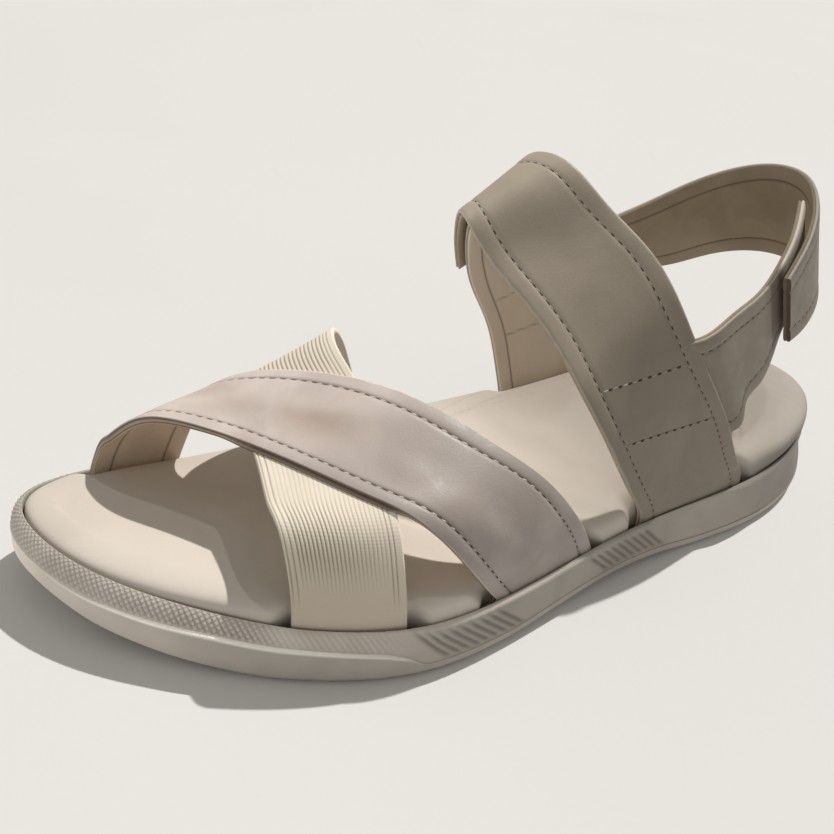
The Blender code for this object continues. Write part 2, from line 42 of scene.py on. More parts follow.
# Sizes are in millimetres from the middle of the seam's length, toe to -Y and lateral side to +X.
# Meshes are placed in metres from the middle of the sole.
mm = 0.001

shoe = {
    "seamLength": 258.0,      # footbed seam from heel to toe
    "ballWidth": 86.0,        # footbed seam across the ball
    "heelTip": -0.017,
    "toeTip": -0.209,
    "gap": 0.3,               # play between pieces that touch
    "strapWall": 2.2,         # leather with its lining
    "elasticWall": 1.8,
    "patchWall": 1.0,
    "patchPlay": 0.5,         # between a patch and the strap that it holds
    "sewnIn": 1.2,            # from a strap's face to the strap sewn under it
    "tuckDepth": 4.0,         # strap end beside the footbed
    "trayDepth": 4.5,
    "wallRise": 10.0,         # straight part of a strap above the seam
    "wallIn": 0.5,
}
fastenedIn = shoe["strapWall"] + shoe["gap"] + shoe["patchWall"] + shoe["patchPlay"]

outlineTable = (
    # share of the length from the heel, reach to the lateral and medial side as shares of the ball width
    (0.06, 0.256, 0.305), (0.20, 0.407, 0.427), (0.40, 0.465, 0.392), (0.60, 0.581, 0.397),
    (0.68, 0.593, 0.407), (0.80, 0.477, 0.397), (0.90, 0.279, 0.395), (0.96, 0.093, 0.356),
)
soleTable = (
    # share, seam height, cushion rise, heel cup depth, side reach, cushion's reach over the rim
    (0.00, 19.9, 10.3, 0.0, 4.0, 1.3), (0.12, 18.8, 10.1, 2.6, 3.7, 1.2), (0.20, 18.0, 9.4, 2.1, 3.0, 0.0),
    (0.32, 17.0, 8.4, 1.0, 2.0, 0.0), (0.45, 16.1, 8.0, 0.5, 2.2, 0.0), (0.60, 15.2, 7.4, 0.4, 2.6, 0.0),
    (0.72, 15.1, 6.8, 0.3, 3.0, 0.0), (0.88, 16.6, 5.4, 0.2, 3.4, 0.0), (1.00, 18.6, 4.2, 0.0, 3.5, 0.0),
)
groundTable = (
    # share, tread height on the lateral edge, on the medial edge
    (0.00, 3.0, 3.0), (0.03, 1.0, 1.0), (0.06, 0.0, 0.0), (0.27, 0.0, 0.0), (0.35, 1.4, 3.4),
    (0.43, 2.0, 5.0), (0.51, 1.4, 3.4), (0.59, 0.0, 0.0), (0.81, 0.0, 0.0), (0.88, 1.6, 1.6),
    (0.95, 5.0, 5.0), (1.00, 8.5, 8.5),
)
lipTable = (
    # share, height of the outsole's edge above its own floor
    (0.00, 1.2), (0.68, 1.2), (0.705, 5.0), (0.73, 7.2), (0.80, 8.9), (0.86, 9.4), (0.93, 7.6), (1.00, 4.4),
)
waistTable = (
    # share, how far the upper side leans in round the heel and is scooped out between the heel and the ribs
    (0.00, 2.6), (0.09, 2.4), (0.17, 0.5), (0.21, 0.0), (0.245, 1.2), (0.355, 1.2), (0.38, 0.0), (1.00, 0.0),
)


# Curves and the shoe's own outline

def curveThrough(knots, values, at):
    knots, values, at = np.asarray(knots, float), np.asarray(values, float), np.asarray(at, float)
    step = np.diff(knots)
    slope = np.diff(values, axis=0) / step.reshape(-1, *[1] * (values.ndim - 1))
    system = np.eye(len(knots))
    bend = np.zeros_like(values)
    for i in range(1, len(knots) - 1):
        system[i, i - 1:i + 2] = step[i - 1], 2 * (step[i - 1] + step[i]), step[i]
        bend[i] = 6 * (slope[i] - slope[i - 1])
    bend = np.linalg.solve(system, bend.reshape(len(knots), -1)).reshape(values.shape)
    k = np.clip(np.searchsorted(knots, at) - 1, 0, len(knots) - 2)
    shape = at.shape + (1,) * (values.ndim - 1)
    right = ((at - knots[k]) / step[k]).reshape(shape)
    left = 1 - right
    cubic = (left ** 3 - left) * bend[k] + (right ** 3 - right) * bend[k + 1]
    return left * values[k] + right * values[k + 1] + cubic * step[k].reshape(shape) ** 2 / 6


def easedThrough(table, index, at):      # never over- or undershoots its table
    knots, values = column(table, 0), column(table, index)
    step = np.diff(knots)
    slope = np.diff(values) / step
    rate = np.zeros_like(values)
    turning = slope[:-1] * slope[1:] > 0
    total = np.where(turning, slope[:-1] + slope[1:], 1.0)
    rate[1:-1] = np.where(turning, 2 * slope[:-1] * slope[1:] / total, 0.0)
    k = np.clip(np.searchsorted(knots, at) - 1, 0, len(knots) - 2)
    t = np.clip((at - knots[k]) / step[k], 0, 1)
    hump = t * t * (3 - 2 * t)
    return (values[k] * (1 - hump) + values[k + 1] * hump
            + step[k] * (rate[k] * t * (1 - t) ** 2 - rate[k + 1] * t * t * (1 - t)))


def column(table, index):
    return np.array([row[index] for row in table], float)


def along(table, index, share):
    return curveThrough(column(table, 0), column(table, index), share)


def straight(table, at):
    return np.interp(at, column(table, 0), column(table, 1))


def smoothStep(low, high, at):
    t = np.clip((at - low) / (high - low), 0, 1)
    return t * t * (3 - 2 * t)


def within(stretch, at):     # rises from 0 to 1 between the first two values, and falls between the last two
    rise, full, fall, gone = stretch
    return smoothStep(rise, full, at) * (1 - smoothStep(fall, gone, at))


def shareOf(angle):
    return (1 - np.cos(angle)) / 2


def angleOf(share):
    return np.arccos(1 - 2 * np.clip(share, 0, 1))


def seamReach(angle):        # the angle runs from the heel along the lateral side to the toe and back
    lateral = angleOf(column(outlineTable, 0))
    turn = np.concatenate([[0.0], lateral, [np.pi], 2 * np.pi - lateral[::-1]])
    reach = np.concatenate([[shoe["heelTip"]], column(outlineTable, 1),
                            [shoe["toeTip"]], -column(outlineTable, 2)[::-1]])
    turns = np.concatenate([turn - 2 * np.pi, turn, turn + 2 * np.pi])
    return curveThrough(turns, np.tile(reach, 3) * shoe["ballWidth"], angle)


def outline(angle, offset):
    near, half = 0.001, shoe["seamLength"] / 2
    x, y = seamReach(angle), half * np.cos(angle)
    dx = seamReach(angle + near) - seamReach(angle - near)
    dy = half * (np.cos(angle + near) - np.cos(angle - near))
    size = np.hypot(dx, dy)
    return x - dy / size * offset, y + dx / size * offset


def seamX(y, side):
    angle = angleOf(0.5 - np.asarray(y) / shoe["seamLength"])
    return seamReach(angle if side > 0 else 2 * np.pi - angle)


def seamZ(y):
    return along(soleTable, 1, 0.5 - np.asarray(y) / shoe["seamLength"])


def soleCentre():
    half = np.linspace(0, np.pi, 41)
    angle = np.concatenate([half, 2 * np.pi - half[-2:0:-1]])
    x, y = outline(angle, along(soleTable, 4, shareOf(angle)) + 0.1)
    return np.array([(x.min() + x.max()) / 2, (y.min() + y.max()) / 2, 0.0])


origin = soleCentre()


# Meshes

def addObject(name, data):
    made = bpy.data.objects.new(name, data)
    bpy.context.scene.collection.objects.link(made)
    return made


def addPiece(name, points, faces, material, uv=None, marks=None, sharpAngle=55):
    mesh = bpy.data.meshes.new(name)
    mesh.from_pydata(((np.asarray(points) - origin) * mm).tolist(), [], faces)
    shape = bmesh.new()
    shape.from_mesh(mesh)
    bmesh.ops.recalc_face_normals(shape, faces=shape.faces)
    shape.to_mesh(mesh)
    shape.free()
    mesh.shade_smooth()
    mesh.set_sharp_from_angle(angle=math.radians(sharpAngle))
    if uv is not None:
        corners = np.empty(len(mesh.loops), np.int32)
        mesh.loops.foreach_get("vertex_index", corners)
        mesh.uv_layers.new(name="strapMap").data.foreach_set("uv", uv[corners].ravel())
    for key, values in (marks or {}).items():
        mesh.attributes.new(key, "FLOAT", "POINT").data.foreach_set("value", values.ravel())
    mesh.materials.append(material)
    return addObject(name, mesh)


def settle(piece, stands=None):
    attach(piece, "root")
    if stands:
        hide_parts(stands)
    return piece


def rungAngles(spacing):     # spacing: share and distance between rungs, which pair up across the sole
    fine = np.linspace(0, np.pi, 6001)
    x, y = outline(fine, 3.0)
    apart = straight(spacing, shareOf(fine[1:]))
    count = np.concatenate([[0], np.cumsum(np.hypot(np.diff(x), np.diff(y)) / apart)])
    half = np.interp(np.linspace(0, count[-1], int(count[-1]) + 1), count, fine)
    return np.concatenate([half, 2 * np.pi - half[-2:0:-1]])


def ring(angle, offset, height):
    x, y = outline(angle, offset)
    return np.stack([x, y, height + 0 * x], axis=1)


def gridQuads(index):
    return np.stack([index[:-1, :-1], index[:-1, 1:], index[1:, 1:], index[1:, :-1]], axis=-1).reshape(-1, 4)


def capRows(loop, first, start, across, relief):
    count, half = len(loop), len(loop) // 2
    u = np.linspace(0, 1, across + 1)[1:-1].reshape(1, -1, 1)
    inner = loop[1:half, None] * (1 - u) + loop[count - 1:half:-1, None] * u
    inner[..., 2] += relief(0.5 - inner[..., 1] / shoe["seamLength"], u[..., 0])
    index = np.empty((half - 1, across + 1), int)
    index[:, 0] = first + np.arange(1, half)
    index[:, -1] = first + count - np.arange(1, half)
    index[:, 1:-1] = start + np.arange(inner.size // 3).reshape(half - 1, across - 1)
    faces = gridQuads(index).tolist()
    for tip, row in ((first, index[0]), (first + half, index[-1])):
        faces += [(tip, a, b) for a, b in zip(row[:-1].tolist(), row[1:].tolist())]
    return inner.reshape(-1, 3), faces


def skinRings(name, rings, across, lowRelief, highRelief, material, marks=None):
    count = len(rings[0])
    k = np.arange(count)
    faces = []
    for r in range(len(rings) - 1):
        low, high = r * count, (r + 1) * count
        after = (k + 1) % count
        faces += np.stack([low + k, low + after, high + after, high + k], axis=1).tolist()
    points = np.concatenate(rings)
    for loop, first, relief in ((rings[0], 0, lowRelief), (rings[-1], count * (len(rings) - 1), highRelief)):
        inner, more = capRows(loop, first, len(points), across, relief)
        points = np.concatenate([points, inner])
        faces += more
    padded = {key: np.pad(values, (0, len(points) - len(values))) for key, values in (marks or {}).items()}
    return addPiece(name, points, faces, material, None, padded)


def level(share, u):
    return 0 * share


# Shader groups, shared by the materials

def addNode(tree, kind, inputs=None, **settings):
    made = tree.nodes.new(kind)
    for key, value in settings.items():
        setattr(made, key, value)
    for key, value in (inputs or {}).items():
        if isinstance(value, bpy.types.NodeSocket):
            tree.links.new(value, made.inputs[key])
        else:
            made.inputs[key].default_value = value
    return made


def startGroup(name, inputs, outputs, treeKind="ShaderNodeTree"):
    tree = bpy.data.node_groups.new(name, treeKind)
    for label, kind, value in inputs:
        socket = tree.interface.new_socket(label, in_out="INPUT", socket_type="NodeSocket" + kind)
        if value is not None:
            socket.default_value = value
    for label, kind in outputs:
        tree.interface.new_socket(label, in_out="OUTPUT", socket_type="NodeSocket" + kind)
    return tree, tree.nodes.new("NodeGroupInput").outputs, tree.nodes.new("NodeGroupOutput").inputs


def mathOf(tree, operation, a, b, c=0.0):
    return addNode(tree, "ShaderNodeMath", {0: a, 1: b, 2: c}, operation=operation).outputs[0]


def rangeOf(tree, value, low, high, toLow=0.0, toHigh=1.0):
    inputs = {"Value": value, "From Min": low, "From Max": high, "To Min": toLow, "To Max": toHigh}
    return addNode(tree, "ShaderNodeMapRange", inputs, interpolation_type="SMOOTHSTEP").outputs[0]


def blendOf(tree, share, low, high):
    made = addNode(tree, "ShaderNodeMix", {0: share, 6: low, 7: high}, data_type="RGBA")
    return made.outputs[2]


def makeHideGrain():         # pebbled hide with fine pores
    tree, given, out = startGroup(
        "hideGrain",
        (("Vector", "Vector", None), ("Pebbles", "Float", 1500.0), ("Depth", "Float", 0.5)),
        (("Height", "Float"), ("Tone", "Float")))
    cells = addNode(tree, "ShaderNodeTexVoronoi", {"Vector": given["Vector"], "Scale": given["Pebbles"]},
                    feature="SMOOTH_F1")
    fine = addNode(tree, "ShaderNodeTexNoise",
                   {"Vector": given["Vector"], "Scale": mathOf(tree, "MULTIPLY", given["Pebbles"], 2.3),
                    "Detail": 3.0})
    broad = addNode(tree, "ShaderNodeTexNoise",
                    {"Vector": given["Vector"], "Scale": mathOf(tree, "MULTIPLY", given["Pebbles"], 0.14),
                     "Detail": 3.0})
    pebble = mathOf(tree, "MULTIPLY", cells.outputs["Distance"], -1.0)
    height = mathOf(tree, "MULTIPLY_ADD", fine.outputs[0], 0.4, pebble)
    tree.links.new(mathOf(tree, "MULTIPLY", height, given["Depth"]), out["Height"])
    tree.links.new(broad.outputs[0], out["Tone"])
    return tree


def makeSoftMottle():        # slow clouds of tone, and a share of fine flecks
    tree, given, out = startGroup(
        "softMottle",
        (("Vector", "Vector", None), ("Clouds", "Float", 60.0), ("Flecks", "Float", 900.0),
         ("Fleck share", "Float", 0.2)),
        (("Tone", "Float"),))
    slow = addNode(tree, "ShaderNodeTexNoise",
                   {"Vector": given["Vector"], "Scale": given["Clouds"], "Detail": 4.0, "Distortion": 0.6})
    quick = addNode(tree, "ShaderNodeTexNoise",
                    {"Vector": given["Vector"], "Scale": given["Flecks"], "Detail": 2.0})
    cloud = rangeOf(tree, slow.outputs[0], 0.32, 0.68)
    fleck = mathOf(tree, "MULTIPLY", mathOf(tree, "SUBTRACT", quick.outputs[0], 0.5), given["Fleck share"])
    tree.links.new(mathOf(tree, "ADD", cloud, fleck), out["Tone"])
    return tree


def makePaleEdge():        # mask that is 1 at a strap's edge and fades away from it, unevenly
    tree, given, out = startGroup(
        "paleEdge",
        (("Vector", "Vector", None), ("Edge", "Float", 0.0), ("Reach", "Float", 0.8)),
        (("Mask", "Float"),))
    unevenness = addNode(tree, "ShaderNodeTexNoise", {"Vector": given["Vector"], "Scale": 260.0, "Detail": 3.0})
    reach = mathOf(tree, "MULTIPLY", given["Reach"], rangeOf(tree, unevenness.outputs[0], 0.3, 0.7, 0.6, 1.4))
    away = mathOf(tree, "DIVIDE", given["Edge"], reach)
    tree.links.new(rangeOf(tree, away, 0.0, 1.0, 1.0, 0.0), out["Mask"])
    return tree


hideGrain, softMottle, paleEdge = makeHideGrain(), makeSoftMottle(), makePaleEdge()


def placeGroup(tree, group, inputs):
    return addNode(tree, "ShaderNodeGroup", inputs, node_tree=group).outputs


bumpHeight = {"hide": 0.0004, "rubber": 0.0003, "weave": 0.0003, "thread": 0.0002, "pile": 0.0005}    # metres
plainInputs = {"rough": "Roughness", "shine": "Specular IOR Level", "sheen": "Sheen Weight"}


def startMaterial(finish):
    material = bpy.data.materials.new(finish["name"])
    material.use_nodes = True
    tree = material.node_tree
    shader = tree.nodes["Principled BSDF"]
    for key, socket in plainInputs.items():
        if key in finish:
            shader.inputs[socket].default_value = finish[key]
    where = tree.nodes.new("ShaderNodeTexCoord").outputs["Object"]
    return material, tree, shader, where


def markOf(tree, name):
    return addNode(tree, "ShaderNodeAttribute", attribute_name=name).outputs["Fac"]


def bumpInto(tree, shader, height, strength, distance):
    bump = addNode(tree, "ShaderNodeBump", {"Height": height, "Strength": strength, "Distance": distance})
    tree.links.new(bump.outputs[0], shader.inputs["Normal"])


def lowToHigh(tree, share, finish):
    return blendOf(tree, share, (*finish["low"], 1), (*finish["high"], 1))


def mottledColour(tree, where, finish):
    inputs = {"Vector": where, "Clouds": finish["clouds"], "Flecks": finish["fleckScale"],
              "Fleck share": finish["flecks"]}
    return lowToHigh(tree, placeGroup(tree, softMottle, inputs)["Tone"], finish)


def markedColour(tree, colour, finish, keys):      # each mark's own colour, where the finish has one
    for key in keys:
        if key in finish:
            colour = blendOf(tree, markOf(tree, key), colour, (*finish[key], 1))
    return colour


def leatherMaterial(finish):
    material, tree, shader, where = startMaterial(finish)
    colour = markedColour(tree, mottledColour(tree, where, finish), finish, ("stain",))
    # paler towards the strap's edge
    if "edge" in finish:
        mask = placeGroup(tree, paleEdge, {"Vector": where, "Edge": markOf(tree, "edge"),
                                             "Reach": finish["edgeReach"]})["Mask"]
        colour = blendOf(tree, mask, colour, (*finish["edge"], 1))
    colour = markedColour(tree, colour, finish, ("shade", "seam", "rim", "pile"))
    tree.links.new(colour, shader.inputs["Base Color"])
    grain = placeGroup(tree, hideGrain, {"Vector": where, "Pebbles": finish["pebbles"], "Depth": 0.5})
    gloss = rangeOf(tree, grain["Tone"], 0.3, 0.7, finish["rough"] - 0.07, finish["rough"] + 0.07)
    tree.links.new(gloss, shader.inputs["Roughness"])
    bumpInto(tree, shader, grain["Height"], finish["bump"], bumpHeight["hide"])
    return material


def rubberMaterial(finish):
    material, tree, shader, where = startMaterial(finish)
    # the groove colour is painted shade, the lip colour a painted highlight
    colour = markedColour(tree, mottledColour(tree, where, finish), finish, ("groove", "lip"))
    tree.links.new(colour, shader.inputs["Base Color"])
    skin = addNode(tree, "ShaderNodeTexNoise", {"Vector": where, "Scale": 2600.0, "Detail": 3.0})
    bumpInto(tree, shader, skin.outputs[0], finish["bump"], bumpHeight["rubber"])
    return material


# Sole: outsole, midsole and cushion footbed

outsoleLook = {
    "plate": 3.0,                # under the foot
    "lipWall": 1.8,              # where it rises up the side
    "treadRound": (3.2, 2.8),    # inset and height of the rounded lower edge
    "lipRound": 0.35,
    "bead": 0.7,                 # raised line along the toe lip
    "beadStretch": (0.68, 0.72, 0.90, 1.0),
    "beadRise": ((0.35, 0.0), (0.65, 0.1), (0.85, 0.55)),    # share of the side's height, share of the bead
    "grooves": (0.10, 0.16, 0.22, 0.62, 0.675, 0.73, 0.785),
    "grooveDepth": 1.4,
    "grooveWidth": 3.0,
    "grooveSlope": (-0.2, 0.6),  # added to half the width where a groove's wall starts and ends
    "grooveEdge": (0.17, 0.23),  # shares of the width where the grooves end at each side
    "spacing": ((0.0, 1.2), (0.60, 1.2), (0.64, 0.7), (0.71, 0.7), (0.75, 1.1), (1.0, 0.9)),
}
midsoleLook = {
    "rimWidth": 1.6,
    "rimRound": 1.0,
    "rimEase": 0.45,
    "easeStretch": (0.55, 1.0),  # shares of the side's height
    "scoopStretch": (0.0, 0.8),
    "fadeStretch": (0.75, 1.0),  # ribs get shallower towards the rim
    "fadeShare": 0.7,
    "tuckIn": 0.8,               # lower edge behind the outsole's lip
    "lowerEdge": ((0.0, 0.45), (0.06, 0.12), (0.15, 0.1), (0.55, 0.1)),    # share of the height, inset
    "rollFrom": (0.66, 0.76),    # shares where the straight side turns into a full roll round the toe
    "rollCrown": ((0.0, 0.0), (0.79, 0.0), (0.86, 1.2), (0.92, 2.1), (1.0, 2.9)),    # share, rise above seam
    "rollIn": 0.3,
    "ribStretches": ((0.375, 0.475), (0.60, 0.705)),
    "ribPitch": 2.9,
    "ribDepth": 0.6,
    "ribSlant": 1.1,
    "ribLine": (0.16, 0.10),     # depth and half width of the fine line on each crest
    "hatchFrom": (0.70, 0.79),   # shares where faint slanted lines start, and where they deepen and cross
    "hatchFaint": 0.3,
    "hatchRamp": (0.04, 0.06),
    "hatchPitch": (1.7, 1.9),    # downhill and uphill lines
    "hatchSlope": (0.8, 1.2),
    "hatchSharp": 2.6,
    "hatchCross": 0.7,           # share of the depth in the uphill lines
    "hatchDepth": 0.6,
    "reliefStretch": (0.02, 0.16, 0.88, 1.0),
    "grooveShade": 0.6,           # share of the painted shade at a groove's bottom
    "heelShade": 0.22,            # and painted shade on the whole side at the heel
    "heelShadeStretch": (0.12, 0.30),
    "spacing": ((0.0, 1.1), (0.33, 1.0), (0.36, 0.36), (0.49, 0.36), (0.52, 0.8), (0.57, 0.5),
                (0.59, 0.36), (1.0, 0.4)),
}
footbedLook = {
    "flat": 8.0,                 # inset of the flat top
    "footMargin": 1.0,           # room for a strap before and behind its end
    "footFade": 5.0,
    "strapLean": 0.7,
    "wallSteps": (0.0, 0.18, 0.35, 0.5, 0.62, 0.72, 0.80, 0.87, 0.92, 0.955, 0.98, 0.993, 1.0),
    "cupFade": (0.03, 0.16),     # shares where the heel cup comes in
    "bulgeStretch": (0.0, 0.3, 0.7, 1.0),
    "heelShadeStretch": (0.12, 0.30),    # shares where the painted shade on the heel wall ends
    "heelShadeHeight": (0.4, 0.9),       # and shares of its height
    "fill": 0.9,
}
# the lip colour is a painted highlight along the top of the toe lip's bead
rubberFinish = {"name": "outsoleRubber", "low": (0.40, 0.365, 0.325), "high": (0.465, 0.425, 0.38),
                "lip": (0.86, 0.81, 0.74), "clouds": 45.0, "fleckScale": 1600.0, "flecks": 0.25,
                "rough": 0.62, "shine": 0.35, "bump": 0.25}
# the groove colour is painted shade: in the grooves, and on the side round the heel
foamFinish = {"name": "midsoleFoam", "low": (0.34, 0.305, 0.27), "high": (0.395, 0.36, 0.322),
              "groove": (0.10, 0.085, 0.07), "clouds": 45.0, "fleckScale": 1600.0, "flecks": 0.25,
              "rough": 0.66, "shine": 0.35, "bump": 0.25}
# the shade colour is painted shade on the cushion's wall round the heel
footbedFinish = {"name": "footbedLeather", "low": (0.60, 0.54, 0.475), "high": (0.67, 0.61, 0.545),
                 "shade": (0.21, 0.185, 0.16), "clouds": 30.0, "fleckScale": 1400.0, "flecks": 0.15,
                 "pebbles": 2600.0, "rough": 0.62, "shine": 0.3, "bump": 0.12}


def treadHeight(angle):
    share = shareOf(angle)
    return np.where(angle < np.pi, easedThrough(groundTable, 1, share), easedThrough(groundTable, 2, share))


def lugRelief(share, u):
    look = outsoleLook
    away = np.min(np.abs(np.array(look["grooves"]) - share[..., None]), axis=-1) * shoe["seamLength"]
    width = 1 - smoothStep(*look["grooveSlope"], away - look["grooveWidth"] / 2)
    ends = smoothStep(*look["grooveEdge"], np.minimum(u, 1 - u))
    return look["grooveDepth"] * width * ends


def makeOutsole():
    look = outsoleLook
    angle = rungAngles(look["spacing"])
    share = shareOf(angle)
    ground, side = treadHeight(angle), along(soleTable, 4, share)
    floor = ground + look["plate"]
    lip = floor + easedThrough(lipTable, 1, share)
    bead = look["bead"] * within(look["beadStretch"], share)
    inset, rise = look["treadRound"]
    rings = []
    for turn in np.radians((0, 12, 24, 36, 48, 60, 75, 90)):
        rings.append(ring(angle, side - inset * (1 - np.sin(turn)), ground + rise * (1 - np.cos(turn))))
    top = lip - look["lipRound"]
    for up, out in look["beadRise"]:
        rings.append(ring(angle, side + out * bead, (ground + rise) * (1 - up) + top * up))
    lipTurns = np.radians((0, 25, 50, 70, 90))
    for turn in lipTurns:
        offset = side + 0.1 + bead - (look["lipRound"] + bead) * (1 - np.cos(turn))
        rings.append(ring(angle, offset, top + look["lipRound"] * np.sin(turn)))
    # painted highlight on the lip's rounded top, where the bead stands out
    below = np.zeros(len(angle) * (len(rings) - len(lipTurns)))
    edge = np.concatenate([below, np.tile(bead / look["bead"], len(lipTurns))])
    rings.append(ring(angle, side - look["lipWall"], lip))
    rings.append(ring(angle, side - look["lipWall"], floor))
    return skinRings("outsoleShell", rings, 30, lugRelief, level, rubberMaterial(rubberFinish), {"lip": edge})


def hatchLines(at, pitch):
    return (0.5 + 0.5 * np.cos(2 * np.pi * at / pitch)) ** midsoleLook["hatchSharp"]


def sideRelief(angle, lengthAlong, drop, rise):
    look, share = midsoleLook, shareOf(angle)
    topShare = share + look["ribSlant"] * drop / shoe["seamLength"]
    deep = np.zeros_like(share)
    lineDepth, lineWidth = look["ribLine"]
    for start, end in look["ribStretches"]:
        count = round((end - start) * shoe["seamLength"] / look["ribPitch"])
        turn = (topShare - start) / (end - start) * count
        wave = look["ribDepth"] * (1 - np.cos(2 * np.pi * turn)) / 2
        crest = np.abs(turn - np.round(turn))
        wave = wave + lineDepth * np.exp(-(crest / lineWidth) ** 2)
        deep = deep + np.where((topShare > start) & (topShare < end), wave, 0)
    lineIn, crossIn = look["hatchFrom"]
    fall, climb = look["hatchSlope"]
    downhill = hatchLines(lengthAlong + fall * drop, look["hatchPitch"][0])
    uphill = hatchLines(lengthAlong - climb * drop, look["hatchPitch"][1])
    beyond = (topShare > look["ribStretches"][1][1]).astype(float)
    faintRamp, fullRamp = look["hatchRamp"]
    full = smoothStep(crossIn, crossIn + fullRamp, share)
    faint = look["hatchFaint"] * smoothStep(lineIn, lineIn + faintRamp, share) * beyond
    lines = downhill * np.maximum(faint, full)
    crossed = look["hatchCross"] * uphill * full
    deep = deep + look["hatchDepth"] * np.maximum(lines, crossed)
    return deep * within(look["reliefStretch"], rise)


def makeMidsole():
    look = midsoleLook
    angle = rungAngles(look["spacing"])
    share = shareOf(angle)
    seam, side = along(soleTable, 1, share), along(soleTable, 4, share)
    floor = treadHeight(angle) + outsoleLook["plate"] + shoe["gap"]
    low = floor + easedThrough(lipTable, 1, share) - look["tuckIn"]
    high = seam - look["rimRound"]
    scoop = easedThrough(waistTable, 1, share)
    rim = np.minimum(look["rimWidth"], side - scoop - shoe["gap"])
    inside = side - outsoleLook["lipWall"] - shoe["gap"]
    x, y = outline(angle, side)
    lengthAlong = np.concatenate([[0], np.cumsum(np.hypot(np.diff(x), np.diff(y)))])
    rings = [ring(angle, inside, floor), ring(angle, inside, low), ring(angle, side - 1.0, low)]
    grooves = [0 * share] * len(rings)
    eased = (side - scoop - rim) * look["rimEase"]
    shoulder = side - 0.1 - eased - scoop
    rolled = smoothStep(*look["rollFrom"], share)
    crown = easedThrough(look["rollCrown"], 1, share)
    rollHigh, rollOut = seam + crown - low, side - look["rollIn"]
    rollArc = math.pi / 2 * np.sqrt((rollHigh ** 2 + rollOut ** 2) / 2)
    ups = np.linspace(0.0, 1.0, 21)
    turns = np.radians((20, 40, 60, 78, 90))
    for k in range(len(ups) + len(turns)):
        if k < len(ups):
            up = ups[k]
            inset = straight(look["lowerEdge"], up)
            inset = inset + eased * smoothStep(*look["easeStretch"], up) ** 1.5
            offset = side - inset - scoop * smoothStep(*look["scoopStretch"], up)
            height, drop = low + (high - low) * up, (1 - up) * (high - low)
            fade = 1 - look["fadeShare"] * smoothStep(*look["fadeStretch"], up)
        else:
            turn = turns[k - len(ups)]
            offset = rim - 0.3 + (shoulder - rim + 0.3) * np.cos(turn)
            height, drop, fade = high + look["rimRound"] * np.sin(turn), 0.0, 0.1 * np.cos(turn)
        done = k / (len(ups) + len(turns) - 1)
        rollOffset = look["rollIn"] + rollOut * np.cos(done * math.pi / 2)
        rollHeight = low + rollHigh * np.sin(done * math.pi / 2)
        offset = offset * (1 - rolled) + rollOffset * rolled
        height = height * (1 - rolled) + rollHeight * rolled
        drop = drop * (1 - rolled) + rollArc * (1 - done) * rolled
        rise = min(k / (len(ups) - 1), 1.0)
        deep = sideRelief(angle, lengthAlong, drop, rise * (1 - rolled) * 0.88 + done * rolled)
        deep = deep * (fade * (1 - rolled) + rolled)
        rings.append(ring(angle, offset - deep, height))
        # painted shade at the bottom of the grooves, and on the side round the heel
        tone = look["grooveShade"] * np.clip(deep / look["ribDepth"], 0, 1)
        grooves.append(np.maximum(tone, look["heelShade"] * (1 - smoothStep(*look["heelShadeStretch"], share))))
    rings.append(ring(angle, 0.35 - 0.2 * rolled, seam + crown * 0.9))
    rings.append(ring(angle, 0.1, seam - 0.1 + crown * 0.6))
    rings.append(ring(angle, 0.0, seam - 0.4))
    rings.append(ring(angle, 0.0, seam - shoe["trayDepth"]))
    return skinRings("midsoleShell", rings, 8, level, level, rubberMaterial(foamFinish),
                     {"groove": np.concatenate(grooves)})


def strapFeet():             # where the straps go down beside the footbed, at the seam and above the cushion
    feet = [(1, rows[0][1:], rows[1][1:]) for rows in (leatherEdges, elasticEdges)]
    inner = [(leatherEdges[row][1], elasticEdges[row][2]) for row in (-1, -2)]
    return feet + [(-1, *inner), (1, *instepFoot), (-1, *medialFoot)]


def recess(angle, height):
    y = shoe["seamLength"] / 2 * np.cos(angle)
    up = np.clip(height / shoe["wallRise"], 0, 1)
    press = np.zeros_like(y)
    for side, low, high in strapFeet():
        front = low[0] + (high[0] - low[0]) * up - footbedLook["footMargin"]
        rear = low[1] + (high[1] - low[1]) * up + footbedLook["footMargin"]
        away = np.maximum(front - y, y - rear)
        here = 1 - smoothStep(0.0, footbedLook["footFade"], away)
        press = np.maximum(press, np.where((angle < np.pi) == (side > 0), here, 0))
    return press * (shoe["strapWall"] + shoe["gap"] + footbedLook["strapLean"])


def heelCup(share, u):
    cup = along(soleTable, 3, share) * smoothStep(*footbedLook["cupFade"], share)
    return -cup * (1 - (2 * u - 1) ** 2)


def makeFootbed():
    look, gap = footbedLook, shoe["gap"]
    angle = rungAngles(((0.0, 1.0), (1.0, 1.0)))
    share = shareOf(angle)
    seam, rise = along(soleTable, 1, share), along(soleTable, 2, share)
    over = easedThrough(soleTable, 5, share)
    deep = recess(angle, 0.0 * share)
    rings = [ring(angle, -gap - 1.2 - deep, seam - shoe["trayDepth"] + gap)]
    rings.append(ring(angle, -gap - deep, seam - shoe["trayDepth"] + gap + 0.8))
    heelWallShade = [0 * share] * len(rings)
    heel = 1 - smoothStep(*look["heelShadeStretch"], share)
    for up in look["wallSteps"]:
        inset = gap + (look["flat"] - gap) * (1 - math.sqrt(1 - up ** 5))
        deep = recess(angle, up * rise) * (1 - 0.5 * up ** 12)
        bulge = over * within(look["bulgeStretch"], up)
        rings.append(ring(angle, bulge - inset - deep, seam + up * rise))
        # painted shade on the lower wall round the heel
        heelWallShade.append(heel * (1 - smoothStep(*look["heelShadeHeight"], up)))
    return skinRings("footbedCushion", rings, 34, level, heelCup, leatherMaterial(footbedFinish),
                     {"shade": np.concatenate(heelWallShade)})


# Straps: shapes that the strap layers are cut from

